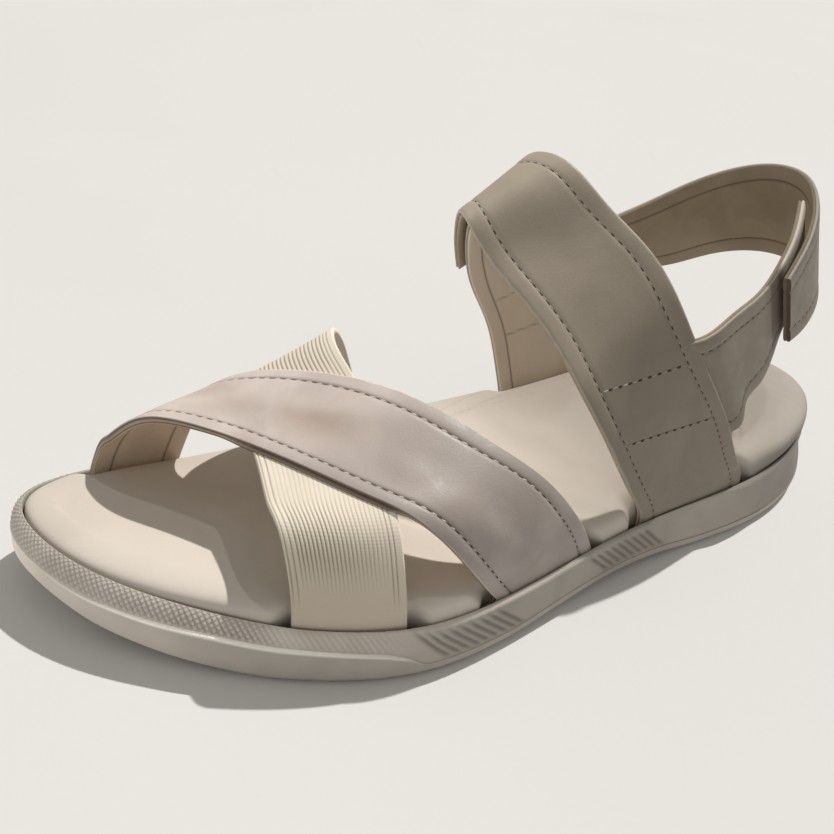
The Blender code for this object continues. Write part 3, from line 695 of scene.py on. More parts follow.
footShares = (0.0, 0.12, 0.24, 0.36, 0.64, 0.82, 0.92, 1.0)
footTable = (
    # station, lateral shoulder in and height, lateral crest in and height, ridge place and height,
    # medial shoulder in and height
    (-112.0, 5.0, 32.5, 12.0, 36.5, -18.0, 40.0, 8.0, 30.0),
    (-99.0, 4.5, 36.0, 13.0, 38.5, -13.0, 42.5, 6.5, 34.5),
    (-80.0, 5.0, 38.0, 13.5, 40.5, -12.5, 45.5, 5.5, 38.5),
    (-55.0, 5.0, 38.0, 13.5, 43.0, -13.0, 54.0, 5.5, 44.0),
    (-25.0, 5.0, 39.5, 15.5, 48.5, -14.0, 68.0, 5.5, 53.5),
    (10.0, 3.0, 39.5, 10.5, 52.5, -12.0, 84.0, 5.5, 64.0),
)
leatherEdges = (
    # share of the way round the foot from the lateral seam, front edge, rear edge
    (0.00, -26.5, 9.5), (0.12, -34.5, 3.5), (0.24, -46.0, -8.5), (0.36, -57.5, -22.0), (0.50, -75.5, -38.0),
    (0.64, -93.0, -59.5), (0.82, -104.0, -78.0), (0.92, -106.5, -82.0), (1.00, -109.5, -85.0),
)
elasticEdges = (
    (0.00, -78.5, -52.0), (0.12, -79.0, -53.0), (0.24, -80.0, -53.5), (0.36, -80.0, -52.0),
    (0.50, -77.0, -46.5), (0.64, -76.0, -45.5), (0.76, -73.0, -40.5), (0.82, -68.0, -36.0),
    (0.88, -58.5, -30.0), (0.92, -52.0, -25.0), (1.00, -42.0, -15.0),
)
instepFoot = ((31.0, 74.5), (25.5, 69.0))
instepTable = (
    # front edge x, y, z and rear edge x, y, z, from the lateral seam to the fastened end
    (36.5, 11.0, 49.0, 37.0, 55.0, 48.0), (30.0, 3.5, 62.5, 35.0, 42.0, 66.0),
    (20.0, -0.5, 72.0, 29.0, 32.5, 83.0), (8.0, -5.0, 80.0, 19.0, 27.0, 94.0),
    (-3.0, -9.5, 87.0, 6.0, 19.0, 103.5), (-12.0, -12.0, 94.0, -7.0, 13.0, 111.0),
    (-19.0, -10.0, 93.0, -18.0, 11.5, 109.0), (-25.0, -6.5, 86.0, -26.0, 14.0, 101.0),
    (-29.0, -3.0, 78.0, -31.0, 19.0, 92.0), (-31.5, 0.5, 70.0, -34.0, 25.0, 82.0),
)
medialFoot = ((27.0, 72.0), (24.5, 70.0))
medialTable = ((-32.5, 17.0, 46.0, -36.0, 62.0, 48.0), (-30.0, 8.0, 60.0, -34.0, 46.0, 67.0))
medialEnd = ((-2, -4, -6, -8), (0.03, 0.97))      # instep strap's rows, span of its width
heelRoot = (15, 10, (2, 4))                       # medial quarter's first and stop row, columns
heelTable = (
    # top edge x, y, z and bottom edge x, y, z, from the medial quarter to the fastened end
    (-34.5, 75.0, 84.5, -34.5, 92.0, 60.5), (-31.5, 96.5, 93.0, -31.0, 108.0, 64.5),
    (-22.0, 110.0, 99.0, -21.0, 117.0, 68.5), (-8.5, 112.5, 100.7, -7.0, 119.8, 70.5),
    (4.0, 106.5, 98.0, 7.1, 115.2, 69.0), (15.0, 95.5, 93.2, 17.7, 105.3, 66.0),
    (22.5, 84.5, 88.3, 24.0, 94.0, 62.8), (27.0, 76.0, 83.6, 27.5, 85.0, 62.0),
)
lateralRoot = ((1, 12.0, 6.2), (3, 13.0, 6.4))    # column of the instep strap, rows at top and bottom edge
lateralTable = (
    (34.0, 43.0, 74.0, 35.0, 66.2, 41.2), (31.4, 53.0, 77.0, 32.4, 68.2, 46.8),
    (28.4, 63.0, 79.3, 30.0, 75.0, 51.0),
)
lateralEnd = ((-2, 0.0, 0.90), (-4, -0.04, 0.90), (-7, -0.10, 0.90))    # heel strap's row, span of its width

strapRows = {"instep": 32, "medial": 24, "heel": 30, "lateral": 20}    # control rows, as the solids have them
insideOf = {"forefoot": (5.0, -60.0, 30.0), "instep": (0.0, 30.0, 50.0), "heel": (-3.0, 75.0, 78.0)}
stitchInset = 5.0                                                      # seam line from a strap's edge
edgeSteps = np.array((0, 0.12, 0.3, 0.6, 1.0, 1.6, 2.4, 3.4, 4.2, 4.65, 4.85, 5.0, 5.15, 5.35, 5.8, 6.8))
stitchColumn = int(np.argmin(np.abs(edgeSteps - stitchInset)))
middleSteps = 24
edgeTaper = 0.92                                                       # how much a rounded edge thins
endSteps = np.array((0, 0.15, 0.4, 0.8, 1.4, 2.2, 3.2))


def footSurface(y, share):
    baseIn = shoe["gap"] + shoe["strapWall"]
    lateral, medial, seam = seamX(y, 1) - baseIn, seamX(y, -1) + baseIn, seamZ(y)
    shoulderIn, shoulder, crestIn, crest, ridgeX, ridge, medialIn, medialTop = (
        curveThrough(column(footTable, 0), column(footTable, i), y) for i in range(1, 9))
    top = seam + shoe["wallRise"]
    section = np.array([
        (lateral, seam), (lateral - shoe["wallIn"], top), (lateral - shoulderIn, shoulder),
        (lateral - crestIn, crest), (ridgeX, ridge), (medial + medialIn, medialTop),
        (medial + shoe["wallIn"], top), (medial, seam)])
    x, z = curveThrough(footShares, section, [share])[0]
    return np.stack([x, y, z], axis=1)


def forefootRows(edges, count, columns=9):
    share = np.linspace(0, 1, count + 1)
    front, rear = along(edges, 1, share), along(edges, 2, share)
    rows = np.array([footSurface(np.linspace(a, b, columns), s) for s, a, b in zip(share, front, rear)])
    down = np.array((0.0, 0.0, shoe["tuckDepth"]))
    tucked = [down * t for t in (1.0, 0.66, 0.33)]
    first = [rows[0] - d for d in tucked]
    last = [rows[-1] - d for d in reversed(tucked)]
    shares = np.concatenate([[0, 0, 0], share, [1, 1, 1]])
    return np.array([*first, *rows, *last]), shares


def outward(grid, inside):
    normal = np.cross(np.gradient(grid, axis=0), np.gradient(grid, axis=1))
    normal /= np.linalg.norm(normal, axis=2, keepdims=True)
    facing = np.sum(normal * (grid - np.array(inside)), axis=2, keepdims=True)
    return normal * np.sign(np.sum(facing))


def ruled(table):
    edges = np.array(table, float).reshape(-1, 2, 3)
    v = np.linspace(0, 1, 5).reshape(1, -1, 1)
    return edges[:, :1] * (1 - v) + edges[:, 1:] * v


def seamRows(feet, side):
    rows = []
    for (front, rear), rise in zip((feet[0], feet[0], feet[1]), (-shoe["tuckDepth"], 0.0, shoe["wallRise"])):
        y = np.linspace(front, rear, 5)
        rows.append(np.stack([seamX(y, side) - side * shoe["gap"], y, seamZ(y) + rise], axis=1))
    return np.array(rows)


def pathLengths(points):
    return np.concatenate([[0], np.cumsum(np.linalg.norm(np.diff(points, axis=0), axis=1))])


def lengthsOf(rows):
    return pathLengths(rows.mean(axis=1))


def controlGrid(rows, pieces):
    length = lengthsOf(rows)
    return curveThrough(length, rows, np.linspace(0, length[-1], pieces + 1))


def between(rows, low, high):
    places = np.linspace(low, high, 5) * 4
    return np.stack([curveThrough(range(5), row, places) for row in rows])


def downColumn(grid, index, top, bottom):
    return curveThrough(range(len(grid)), grid[:, index], np.linspace(top, bottom, 5))


def rearControls():          # control rows of the four rear straps, each hung on the one before
    sets = {"instep": np.concatenate([seamRows(instepFoot, 1), ruled(instepTable)])}
    instep = controlGrid(sets["instep"], strapRows["instep"])
    instepOut = outward(instep, insideOf["instep"])
    endRows, span = medialEnd
    tucked = between((instep - instepOut * fastenedIn)[list(endRows)], *span)
    sets["medial"] = np.concatenate([seamRows(medialFoot, -1), ruled(medialTable), tucked])
    medial = controlGrid(sets["medial"], strapRows["medial"])
    sewn = medial - outward(medial, insideOf["instep"]) * shoe["sewnIn"]
    first, stop, columns = heelRoot
    root = np.stack([sewn[first:stop:-1, index] for index in columns])
    sets["heel"] = np.concatenate([root, ruled(heelTable)])
    heel = controlGrid(sets["heel"], strapRows["heel"])
    underHeel = heel - outward(heel, insideOf["heel"]) * fastenedIn
    sewn = instep - instepOut * shoe["sewnIn"]
    root = np.stack([downColumn(sewn, *place) for place in lateralRoot])
    end = np.concatenate([between(underHeel[[row]], *span) for row, *span in lateralEnd])
    sets["lateral"] = np.concatenate([root, ruled(lateralTable), end])
    return sets


def acrossKnots(rows):       # distance across the strap of each point in a row
    chord = np.cumsum(np.linalg.norm(np.diff(rows, axis=1), axis=2), axis=1)
    return np.concatenate([np.zeros((len(rows), 1)), chord], axis=1)


def spreadAcross(rows):
    reach = edgeSteps[-1]
    grid, places = [], []
    for row, knot in zip(rows, acrossKnots(rows)):
        inner = np.linspace(reach, knot[-1] - reach, middleSteps + 1)[1:-1]
        at = np.concatenate([edgeSteps, inner, knot[-1] - edgeSteps[::-1]])
        grid.append(curveThrough(knot, row, at))
        places.append(at)
    return np.array(grid), np.array(places)


def surfaceOf(grid, across, inside):
    lengths = lengthsOf(grid)
    return {"grid": grid, "normal": outward(grid, inside), "across": across,
            "edge": np.minimum(across, across[:, -1:] - across), "along": lengths[:, None] + 0 * across,
            "ends": np.minimum(lengths, lengths[-1] - lengths)}


def rearSurface(rows, inside, count):
    length = lengthsOf(rows)
    total = length[-1]
    inner = np.linspace(endSteps[-1], total - endSteps[-1], count)[1:-1]
    places = np.concatenate([endSteps, inner, total - endSteps[::-1]])
    return surfaceOf(*spreadAcross(curveThrough(length, rows, places)), inside)


def bandPiece(name, surface, low, high, edgeRound, material, marks=None,
              roundEnds=False, sideRim=0.0, endRim=0.0):
    grid, normal = surface["grid"], surface["normal"]
    rows, columns = grid.shape[:2]
    near = np.minimum(surface["edge"], surface["ends"][:, None]) if roundEnds else surface["edge"]
    turn = 1 - np.clip(near / edgeRound, 0, 1)
    full = np.sqrt(1 - edgeTaper * turn ** 2)
    low, high = low + 0 * near, high + 0 * near
    middle, half = (low + high) / 2, (high - low) / 2
    points = np.concatenate([grid + normal * (middle + half * full)[..., None],
                             grid + normal * (middle - half * full)[..., None]]).reshape(-1, 3)
    index = np.arange(rows * columns).reshape(rows, columns)
    quads = gridQuads(index)
    rim = np.concatenate([index[0], index[1:, -1], index[-1, -2::-1], index[-2:0:-1, 0]])
    after, below = np.roll(rim, -1), rows * columns
    wall = np.stack([rim, after, after + below, rim + below], axis=1)
    faces = quads.tolist() + (quads[:, ::-1] + below).tolist() + wall.tolist()
    uv = np.stack([surface["along"], surface["across"]], axis=-1).reshape(-1, 2) * mm
    rimMark = np.zeros((rows, columns))
    rimMark[:, [0, -1]] = sideRim
    rimMark[-1] = np.maximum(rimMark[-1], endRim)
    allMarks = {"edge": surface["edge"], "rim": rimMark, **(marks or {})}
    doubled = {key: np.tile(values.ravel(), 2) for key, values in allMarks.items()}
    doubled["inner"] = np.repeat((0.0, 1.0), rows * columns)
    return addPiece(name, points, faces, material, np.tile(uv, (2, 1)), doubled)


seamLook = {
    "grooveWidth": 0.42,
    "puff": (0.4, 1.8, 3.2, 4.6),    # distances from the edge between which the leather stands up
    "puffShare": 0.35,
    "lineWidth": 0.3,
}


def seamGroove(surface, depth):      # the thread pulls the leather in along its row
    groove = np.exp(-((surface["edge"] - stitchInset) / seamLook["grooveWidth"]) ** 2)
    return depth * (seamLook["puffShare"] * within(seamLook["puff"], surface["edge"]) - groove)


def seamMark(surface):
    return np.exp(-((surface["edge"] - stitchInset) / seamLook["lineWidth"]) ** 2)


# Forefoot straps: the elastic, and the leather that crosses over it

leatherLook = {
    "layer": 1.3,                # outer leather, the rest of the wall is lining
    "rows": 170,
    "crossing": (0.06, 0.24, 0.78, 0.94),
    "lift": 1.2,                 # how far it rides up onto the elastic
    "edgeRound": 0.25,
    "liningRound": 0.2,
    "layerGap": 0.05,            # between leather and lining
    "seamDepth": 0.3,
    "seamTone": (0.5, 0.7),      # on the leather and on the lining
    "rawReach": 1.5,             # how far the lining's raw edge reaches out on the elastic
    "rawStretch": (0.295, 0.325, 0.50, 0.56),
    "rawEdgeShadowTone": (1.6, 2.6),       # distances from the edge where its dark tone ends: the lining's raw edge, with the leather edge's shadow on the elastic painted on it
    "rawDrawn": 2.0,             # and the width that is drawn out with it
    "creases": (
        # along, across, turn in degrees, half length, half width, depth
        (70.0, 15.0, 20.0, 22.0, 4.5, 0.45), (92.0, 22.0, -25.0, 18.0, 4.0, -0.40),
        (48.0, 20.0, 8.0, 20.0, 5.0, 0.35), (112.0, 12.0, 35.0, 14.0, 3.5, 0.40),
        (30.0, 12.0, -12.0, 16.0, 4.5, -0.30),
    ),
    "shade": (54.0, 23.0, 0.85),     # along, half length and strength of the painted shade on the lateral side
    "stains": (
        # along, across, half length, half width, strength
        (84.0, 19.0, 11.0, 8.0, 0.85), (66.0, 24.0, 10.0, 5.0, 0.35), (104.0, 14.0, 9.0, 6.0, 0.45),
        (52.0, 12.0, 12.0, 5.0, 0.30), (122.0, 20.0, 10.0, 6.0, 0.35),
    ),
}
elasticLook = {
    "rows": 150,
    "columns": 181,
    "ribs": (3.4, 4.4, 21),          # first and last rib from the front and rear edge, and how many
    "ribDepth": 0.16,
    "ribWidth": 0.16,                # share of the way from rib to rib
    "ribStretch": (9.0, 21.0),       # pressed flat towards the lateral base
    "ribRest": (28.0, 37.0, 0.75),   # fainter over the shoulder
    "ribFaint": (0.35, 0.85, 0.55),  # and towards the rear edge
    "ribReturn": (62.0, 76.0),       # deep again past the leather
    "edgeLines": (0.8, 2.1),         # sewn lines from the front edge
    "rearLines": (2.2, 3.3),
    "lineWidth": 0.15,
    "lineStretch": (4.0, 14.0),      # where the sewn lines come in
    "lineDepth": 0.8,                # share of a rib's depth
    "innerDepth": 0.6,               # and that of a rib on the inside
    # painted shade in the rib valleys and the sewn-line grooves
    "valleyShadeShare": 0.8,
    # painted shade, darker towards the lateral base
    "baseShadeStretch": (3.0, 30.0),
    "edgeRound": 0.5,
}
# the base colour is painted shade towards the lateral base
# the valley colour is painted shade in the grooves
elasticFinish = {"name": "elasticWeave", "low": (0.78, 0.71, 0.58), "high": (0.86, 0.79, 0.67),
                 "baseShade": (0.63, 0.545, 0.45), "valleyShade": (0.13, 0.10, 0.06), "inner": (0.66, 0.62, 0.55),
                 "clouds": 40.0, "fleckScale": 2200.0, "flecks": 0.3, "picks": 420.0,
                 "rough": 0.85, "shine": 0.25, "sheen": 0.15, "bump": 0.1}
# the shade colour is painted shade on the strap's lateral side
forefootFinish = {"name": "forefootLeather", "low": (0.35, 0.30, 0.275), "high": (0.435, 0.38, 0.35),
                  "stain": (0.265, 0.197, 0.152), "shade": (0.25, 0.215, 0.193), "edge": (0.62, 0.55, 0.48),
                  "edgeReach": 0.6, "seam": (0.05, 0.035, 0.025), "rim": (0.17, 0.12, 0.09),
                  "clouds": 55.0, "fleckScale": 1400.0, "flecks": 0.12, "pebbles": 1700.0,
                  "rough": 0.48, "shine": 0.4, "bump": 0.16}
liningFinish = {"name": "strapLining", "low": (0.44, 0.36, 0.27), "high": (0.53, 0.44, 0.335),
                "rim": (0.20, 0.15, 0.115), "seam": (0.07, 0.05, 0.04), "clouds": 70.0, "fleckScale": 1400.0,
                "flecks": 0.3, "pebbles": 2200.0, "rough": 0.8, "shine": 0.25, "bump": 0.2}
# lighter copy of the lining: painted light on the forefoot strap's inner faces
litForefootLiningFinish = {**liningFinish, "name": "forefootLining", "low": (0.62, 0.50, 0.37),
                        "high": (0.72, 0.59, 0.45)}


def creaseRelief(surface, creases):
    u, v = surface["along"], surface["across"]
    relief = np.zeros_like(u)
    for at, over, turn, halfLength, halfWidth, depth in creases:
        c, s = math.cos(math.radians(turn)), math.sin(math.radians(turn))
        run, off = (u - at) * c + (v - over) * s, (v - over) * c - (u - at) * s
        relief -= depth * np.exp(-(run / halfLength) ** 2 - (off / halfWidth) ** 2)
    return relief


def stainMark(surface, stains):
    u, v = surface["along"], surface["across"]
    mark = np.zeros_like(u)
    for at, over, halfLength, halfWidth, strength in stains:
        spot = np.exp(-((u - at) / halfLength) ** 2 - ((v - over) / halfWidth) ** 2)
        mark = np.maximum(mark, strength * spot)
    return mark


def elasticMaterial(finish):
    material, tree, shader, where = startMaterial(finish)
    colour = markedColour(tree, mottledColour(tree, where, finish), finish, ("baseShade", "valleyShade", "inner"))
    tree.links.new(colour, shader.inputs["Base Color"])
    strapMap = addNode(tree, "ShaderNodeUVMap", uv_map="strapMap")
    picks = addNode(tree, "ShaderNodeTexWave", {"Vector": strapMap.outputs[0], "Scale": finish["picks"],
                                                "Distortion": 0.8, "Detail": 1.0}, bands_direction="X")
    bumpInto(tree, shader, picks.outputs["Fac"], finish["bump"], bumpHeight["weave"])
    return material


def makeElastic():
    look = elasticLook
    rows = forefootRows(elasticEdges, look["rows"])[0]
    knots = acrossKnots(rows)
    across = np.linspace(0, 1, look["columns"])[None] * knots[:, -1:]
    grid = np.array([curveThrough(knot, row, at) for knot, row, at in zip(knots, rows, across)])
    surface = surfaceOf(grid, across, insideOf["forefoot"])
    length, fromRear = surface["along"] - shoe["tuckDepth"], across[:, -1:] - across
    first, last, count = look["ribs"]
    turn = (across - first) / (across[:, -1:] - first - last) * count
    rib = np.exp(-((turn - np.round(turn)) / look["ribWidth"]) ** 2)
    rib = np.where((turn > -0.4) & (turn < count + 0.4), rib, 0.0)
    shown = smoothStep(*look["ribStretch"], length)
    restFrom, restTo, rest = look["ribRest"]
    front = 1 - smoothStep(*look["ribReturn"], length)
    shown = shown * (1 - rest * smoothStep(restFrom, restTo, length) * front)
    faintFrom, faintTo, faint = look["ribFaint"]
    shown = shown * (1 - faint * smoothStep(faintFrom, faintTo, across / across[:, -1:]) * front)
    lines = np.zeros_like(across)
    for distance, insets in ((across, look["edgeLines"]), (fromRear, look["rearLines"])):
        for inset in insets:
            lines = np.maximum(lines, np.exp(-((distance - inset) / look["lineWidth"]) ** 2))
    # this mark also sets the painted shade in the valleys
    mark = np.maximum(rib * shown, look["lineDepth"] * lines * smoothStep(*look["lineStretch"], length))
    high = shoe["elasticWall"] - look["ribDepth"] * mark
    low = look["ribDepth"] * look["innerDepth"] * mark
    # painted shade: in the valleys, and darker towards the lateral base
    tones = {"valleyShade": look["valleyShadeShare"] * mark, "baseShade": 1 - smoothStep(*look["baseShadeStretch"], length)}
    material = elasticMaterial(elasticFinish)
    return bandPiece("elasticBand", surface, low, high, look["edgeRound"], material, tones)


def reachOut(surface, reach):        # pushes the front edge out, and draws the strip beside it along
    grid = surface["grid"]
    ahead = grid[:, 0] - grid[:, 4]
    ahead /= np.linalg.norm(ahead, axis=1, keepdims=True)
    near = reach[:, None] * (1 - smoothStep(0.0, leatherLook["rawDrawn"], surface["across"]))
    return {**surface, "grid": grid + ahead[:, None] * near[..., None]}


def makeLeather(lining):
    look = leatherLook
    rows, share = forefootRows(leatherEdges, look["rows"])
    surface = surfaceOf(*spreadAcross(rows), insideOf["forefoot"])
    ride = look["lift"] * within(look["crossing"], share)
    lift = ride[:, None] + creaseRelief(surface, look["creases"])
    wall = shoe["strapWall"]
    split = lift + wall - look["layer"]
    surface["top"] = lift + wall + seamGroove(surface, look["seamDepth"])
    seam = seamMark(surface)
    # painted shade over the strap's lateral side
    at, halfLength, strength = look["shade"]
    tones = {"stain": stainMark(surface, look["stains"]), "seam": look["seamTone"][0] * seam,
             "shade": strength * np.exp(-((surface["along"] - at) / halfLength) ** 2)}
    band = bandPiece("forefootBand", surface, split, surface["top"], look["edgeRound"],
                     leatherMaterial(forefootFinish), tones, sideRim=1.0)
    # dark strip: the lining's raw edge, which also paints the leather edge's shadow on the elastic
    shown = within(look["rawStretch"], share)
    rawEdgeShadow = shown[:, None] * (1 - smoothStep(*look["rawEdgeShadowTone"], surface["across"]))
    tones = {"seam": look["seamTone"][1] * seam, "rim": np.where(surface["edge"] == 0, 1.0, rawEdgeShadow)}
    under = bandPiece("forefootLining", reachOut(surface, look["rawReach"] * shown), lift,
                      split - look["layerGap"], look["liningRound"], lining, tones)
    return band, under, surface


# Rear straps: instep strap, heel strap and the two quarters that carry them

rearLook = {
    "layer": 1.3,
    "lap": 0.1,                  # the lining goes up into the leather
    "edgeRound": 0.95,
    "liningRound": 0.6,
    "seamDepth": 0.28,
    "liningSeam": 0.5,           # share of that depth in the lining
    "seamTone": 0.7,
    "pile": (30.0, 4.0),         # loops that show on the lateral quarter's end: length and width
    "pileFade": (6.0, 0.4),
    "crossSeams": (31.5, 50.5),  # across the medial quarter's lining, at its front edge
    "crossSlant": 0.15,
    "crossLine": (0.35, 0.6),    # half width and tone
    "shadedEnd": 37.0,                 # end of the lateral quarter under the heel strap: partly its own darker tab, partly the heel strap's shadow painted on it
    "shadedEndFade": 0.6,
    "rows": {"instep": 170, "medial": 130, "heel": 170, "lateral": 110},
    "creases": {
        "instep": ((60.0, 20.0, 80.0, 16.0, 7.0, 0.12), (95.0, 24.0, 60.0, 14.0, 7.0, -0.12)),
        "heel": ((60.0, 14.0, 85.0, 12.0, 7.0, 0.3), (95.0, 14.0, 85.0, 12.0, 8.0, -0.3)),
        "medial": ((38.0, 20.0, 10.0, 18.0, 5.0, 0.3),),
        "lateral": ((22.0, 12.0, 70.0, 10.0, 5.0, 0.3),),
    },
}
# the shade colour is the lateral quarter's darker end, with the heel strap's shadow painted on it
strapFinish = {"name": "strapLeather", "low": (0.235, 0.20, 0.157), "high": (0.275, 0.235, 0.186),
               "rim": (0.10, 0.07, 0.05), "shade": (0.15, 0.122, 0.097), "pile": (0.66, 0.60, 0.51),
               "edge": (0.40, 0.36, 0.305), "edgeReach": 0.6, "clouds": 40.0, "fleckScale": 1400.0,
               "flecks": 0.15, "pebbles": 1900.0, "rough": 0.52, "shine": 0.35, "bump": 0.14}
# lighter copy of the lining: painted light on the medial quarter's inner face
litMedialLiningFinish = {**liningFinish, "name": "medialLining", "low": (0.66, 0.58, 0.475),
                "high": (0.74, 0.66, 0.55), "clouds": 30.0}
# darker copy of the lining: painted shade inside the heel strap
shadedHeelLiningFinish = {**liningFinish, "name": "heelLining", "low": (0.35, 0.285, 0.205), "high": (0.41, 0.335, 0.245)}
strapNodes = {"instep": "instep_strap", "lateral": "instep_strap",
              "heel": "heel_strap", "medial": "heel_strap"}


def makeRearStraps(lining):
    look = rearLook
    leather = leatherMaterial(strapFinish)
    # painted light on the medial quarter's lining, painted shade on the heel strap's
    linings = {"medial": leatherMaterial(litMedialLiningFinish), "heel": leatherMaterial(shadedHeelLiningFinish)}
    surfaces, pieces = {}, {}
    for key, rows in rearControls().items():
        inside = insideOf["instep" if key in ("instep", "medial") else "heel"]
        surface = rearSurface(rows, inside, look["rows"][key])
        crease, groove = creaseRelief(surface, look["creases"][key]), seamGroove(surface, look["seamDepth"])
        surface["top"] = crease + groove
        pile, shadedEnd, seam = np.zeros_like(crease), np.zeros_like(crease), seamMark(surface)
        if key == "lateral":
            end, strip = look["pile"]
            endFade, stripFade = look["pileFade"]
            left = surface["along"].max() - surface["along"]
            # darker end of the quarter, partly the heel strap's painted shadow
            shadedEnd = 1 - smoothStep(look["shadedEnd"] - look["shadedEndFade"], look["shadedEnd"], left)
            pile = 1 - smoothStep(end - endFade, end, left)
            pile = pile * (1 - smoothStep(strip - stripFade, strip, surface["across"]))
        if key == "medial":
            width, tone = look["crossLine"]
            for at in look["crossSeams"]:
                off = surface["along"] - at - look["crossSlant"] * surface["across"]
                line = np.exp(-(off / width) ** 2) * (surface["edge"] > stitchInset)
                seam = np.maximum(seam, tone * line)
        ends = {"roundEnds": key != "heel", "endRim": float(key == "heel")}
        low, split = crease - shoe["strapWall"] - look["liningSeam"] * groove, crease - look["layer"]
        pieces[key] = (
            bandPiece(key + "Band", surface, split, surface["top"], look["edgeRound"], leather,
                      {"pile": pile, "shade": shadedEnd}, **ends),
            bandPiece(key + "Lining", surface, low, split + look["lap"], look["liningRound"],
                      linings.get(key, lining), {"seam": look["seamTone"] * seam}, **ends))
        surfaces[key] = surface
    return surfaces, pieces


# Stitches: rows of points on the straps, dressed with thread and needle holes by Geometry Nodes

stitchLook = {
    "pitch": 3.0,
    "thread": {"forefoot": (1.5, 0.42, 0.34), "rear": (1.8, 0.52, 0.42)},    # length, width and height
    "hole": (1.44, 0.80, 0.16),      # the same of a needle hole
    "rings": (6, 4),                 # of a thread and of a hole
    "lean": 8.0,                     # degrees off the row
    "leanShare": (0.6, 1.4),
    "lookAhead": 0.4,                # to the next place on the row, for its direction
    "forefootRow": (8.0, 150.0),     # from and to, along the strap
    "rearRows": {                    # left free at the strap's start and end
        "instep": (6.0, 4.0), "heel": (4.0, 4.0),
        "lateral": (10.0, rearLook["shadedEnd"] + 1.0), "medial": (6.0, 3.0),
    },
    "crossRows": ((55.5, 63.2), (35.0, 43.0)),    # over the instep strap, at its front and rear edge
    "holeSeed": 5,
}
threadFinish = {"name": "strapThread", "low": (0.27, 0.235, 0.19), "high": (0.36, 0.32, 0.265),
                "twist": 900.0, "rough": 0.7, "bump": 0.4}
forefootThreadFinish = {**threadFinish, "name": "forefootThread", "low": (0.50, 0.43, 0.36),
                        "high": (0.62, 0.55, 0.47)}
# dark pits on the surface: painted shade inside the needle holes
holeFinish = {"name": "needleHole", "low": (0.035, 0.026, 0.02), "high": (0.07, 0.055, 0.042),
              "holeMottle": 1500.0, "rough": 0.9}


def sewnFace(surface):
    return surface["grid"] + surface["normal"] * surface["top"][..., None]


def rowsOnStrap(surface, start, end):        # one along each edge
    path = sewnFace(surface)
    rows = []
    for c in (stitchColumn, -1 - stitchColumn):
        keep = (surface["along"][:, c] >= start) & (surface["along"][:, c] <= end)
        rows.append((path[keep, c], surface["normal"][keep, c]))
    return rows


def rowAcrossStrap(surface, frontAt, rearAt):
    path = sewnFace(surface)
    count = path.shape[1]
    rows = np.interp(np.linspace(frontAt, rearAt, count), surface["along"][:, 0], np.arange(len(path)))
    low, c = rows.astype(int), np.arange(count)
    share = (rows - low)[:, None]
    line = path[low, c] * (1 - share) + path[low + 1, c] * share
    keep = surface["edge"][low, c] >= stitchInset
    return line[keep], surface["normal"][low, c][keep]


def onPath(at, length, values):
    return np.stack([np.interp(at, length, values[:, i]) for i in range(3)], axis=1)


def stitchPoints(path, normal):
    length = pathLengths(path)
    count = max(2, round(length[-1] / stitchLook["pitch"]))
    at = (np.arange(count) + 0.5) * length[-1] / count
    ends = np.arange(count + 1) * length[-1] / count
    place = onPath(at, length, path)
    run = onPath(at + stitchLook["lookAhead"], length, path) - place
    run /= np.linalg.norm(run, axis=1, keepdims=True) + 1e-9
    threads = (place, run, onPath(at, length, normal))
    holes = (onPath(ends, length, path), np.concatenate([run, run[-1:]]), onPath(ends, length, normal))
    return threads, holes


def makeRowTree(name, rings):
    sizes = [(label, "Float", None) for label in ("Length", "Width", "Height", "Lean")]
    tree, given, out = startGroup(
        name, (("Geometry", "Geometry", None), *sizes, ("Seed", "Int", None), ("Finish", "Material", None)),
        (("Geometry", "Geometry"),), "GeometryNodeTree")
    form = addNode(tree, "GeometryNodeMeshUVSphere", {"Segments": 8, "Rings": rings, "Radius": 0.5})
    size = addNode(tree, "ShaderNodeCombineXYZ", {0: given["Length"], 1: given["Width"], 2: given["Height"]})
    sized = addNode(tree, "GeometryNodeTransform",
                    {"Geometry": form.outputs["Mesh"], "Scale": size.outputs[0]})
    run = addNode(tree, "GeometryNodeInputNamedAttribute", {"Name": "run"}, data_type="FLOAT_VECTOR")
    up = addNode(tree, "GeometryNodeInputNamedAttribute", {"Name": "up"}, data_type="FLOAT_VECTOR")
    facing = addNode(tree, "FunctionNodeAxesToRotation",
                     {"Primary Axis": up.outputs[0], "Secondary Axis": run.outputs[0]},
                     primary_axis="Z", secondary_axis="X")
    least, most = stitchLook["leanShare"]
    jitter = addNode(tree, "FunctionNodeRandomValue", {2: least, 3: most, "Seed": given["Seed"]},
                     data_type="FLOAT")
    lean = addNode(tree, "ShaderNodeMath", {0: given["Lean"], 1: jitter.outputs[1]}, operation="MULTIPLY")
    spin = addNode(tree, "ShaderNodeCombineXYZ", {2: lean.outputs[0]})
    turn = addNode(tree, "FunctionNodeEulerToRotation", {0: spin.outputs[0]})
    turned = addNode(tree, "FunctionNodeRotateRotation", {0: facing.outputs[0], 1: turn.outputs[0]},
                     rotation_space="LOCAL")
    placed = addNode(tree, "GeometryNodeInstanceOnPoints",
                     {"Points": given["Geometry"], "Instance": sized.outputs[0],
                      "Rotation": turned.outputs[0]})
    real = addNode(tree, "GeometryNodeRealizeInstances", {"Geometry": placed.outputs[0]})
    dressed = addNode(tree, "GeometryNodeSetMaterial",
                      {"Geometry": real.outputs[0], "Material": given["Finish"]})
    smooth = addNode(tree, "GeometryNodeSetShadeSmooth", {"Geometry": dressed.outputs[0]})
    tree.links.new(smooth.outputs[0], out["Geometry"])
    return tree


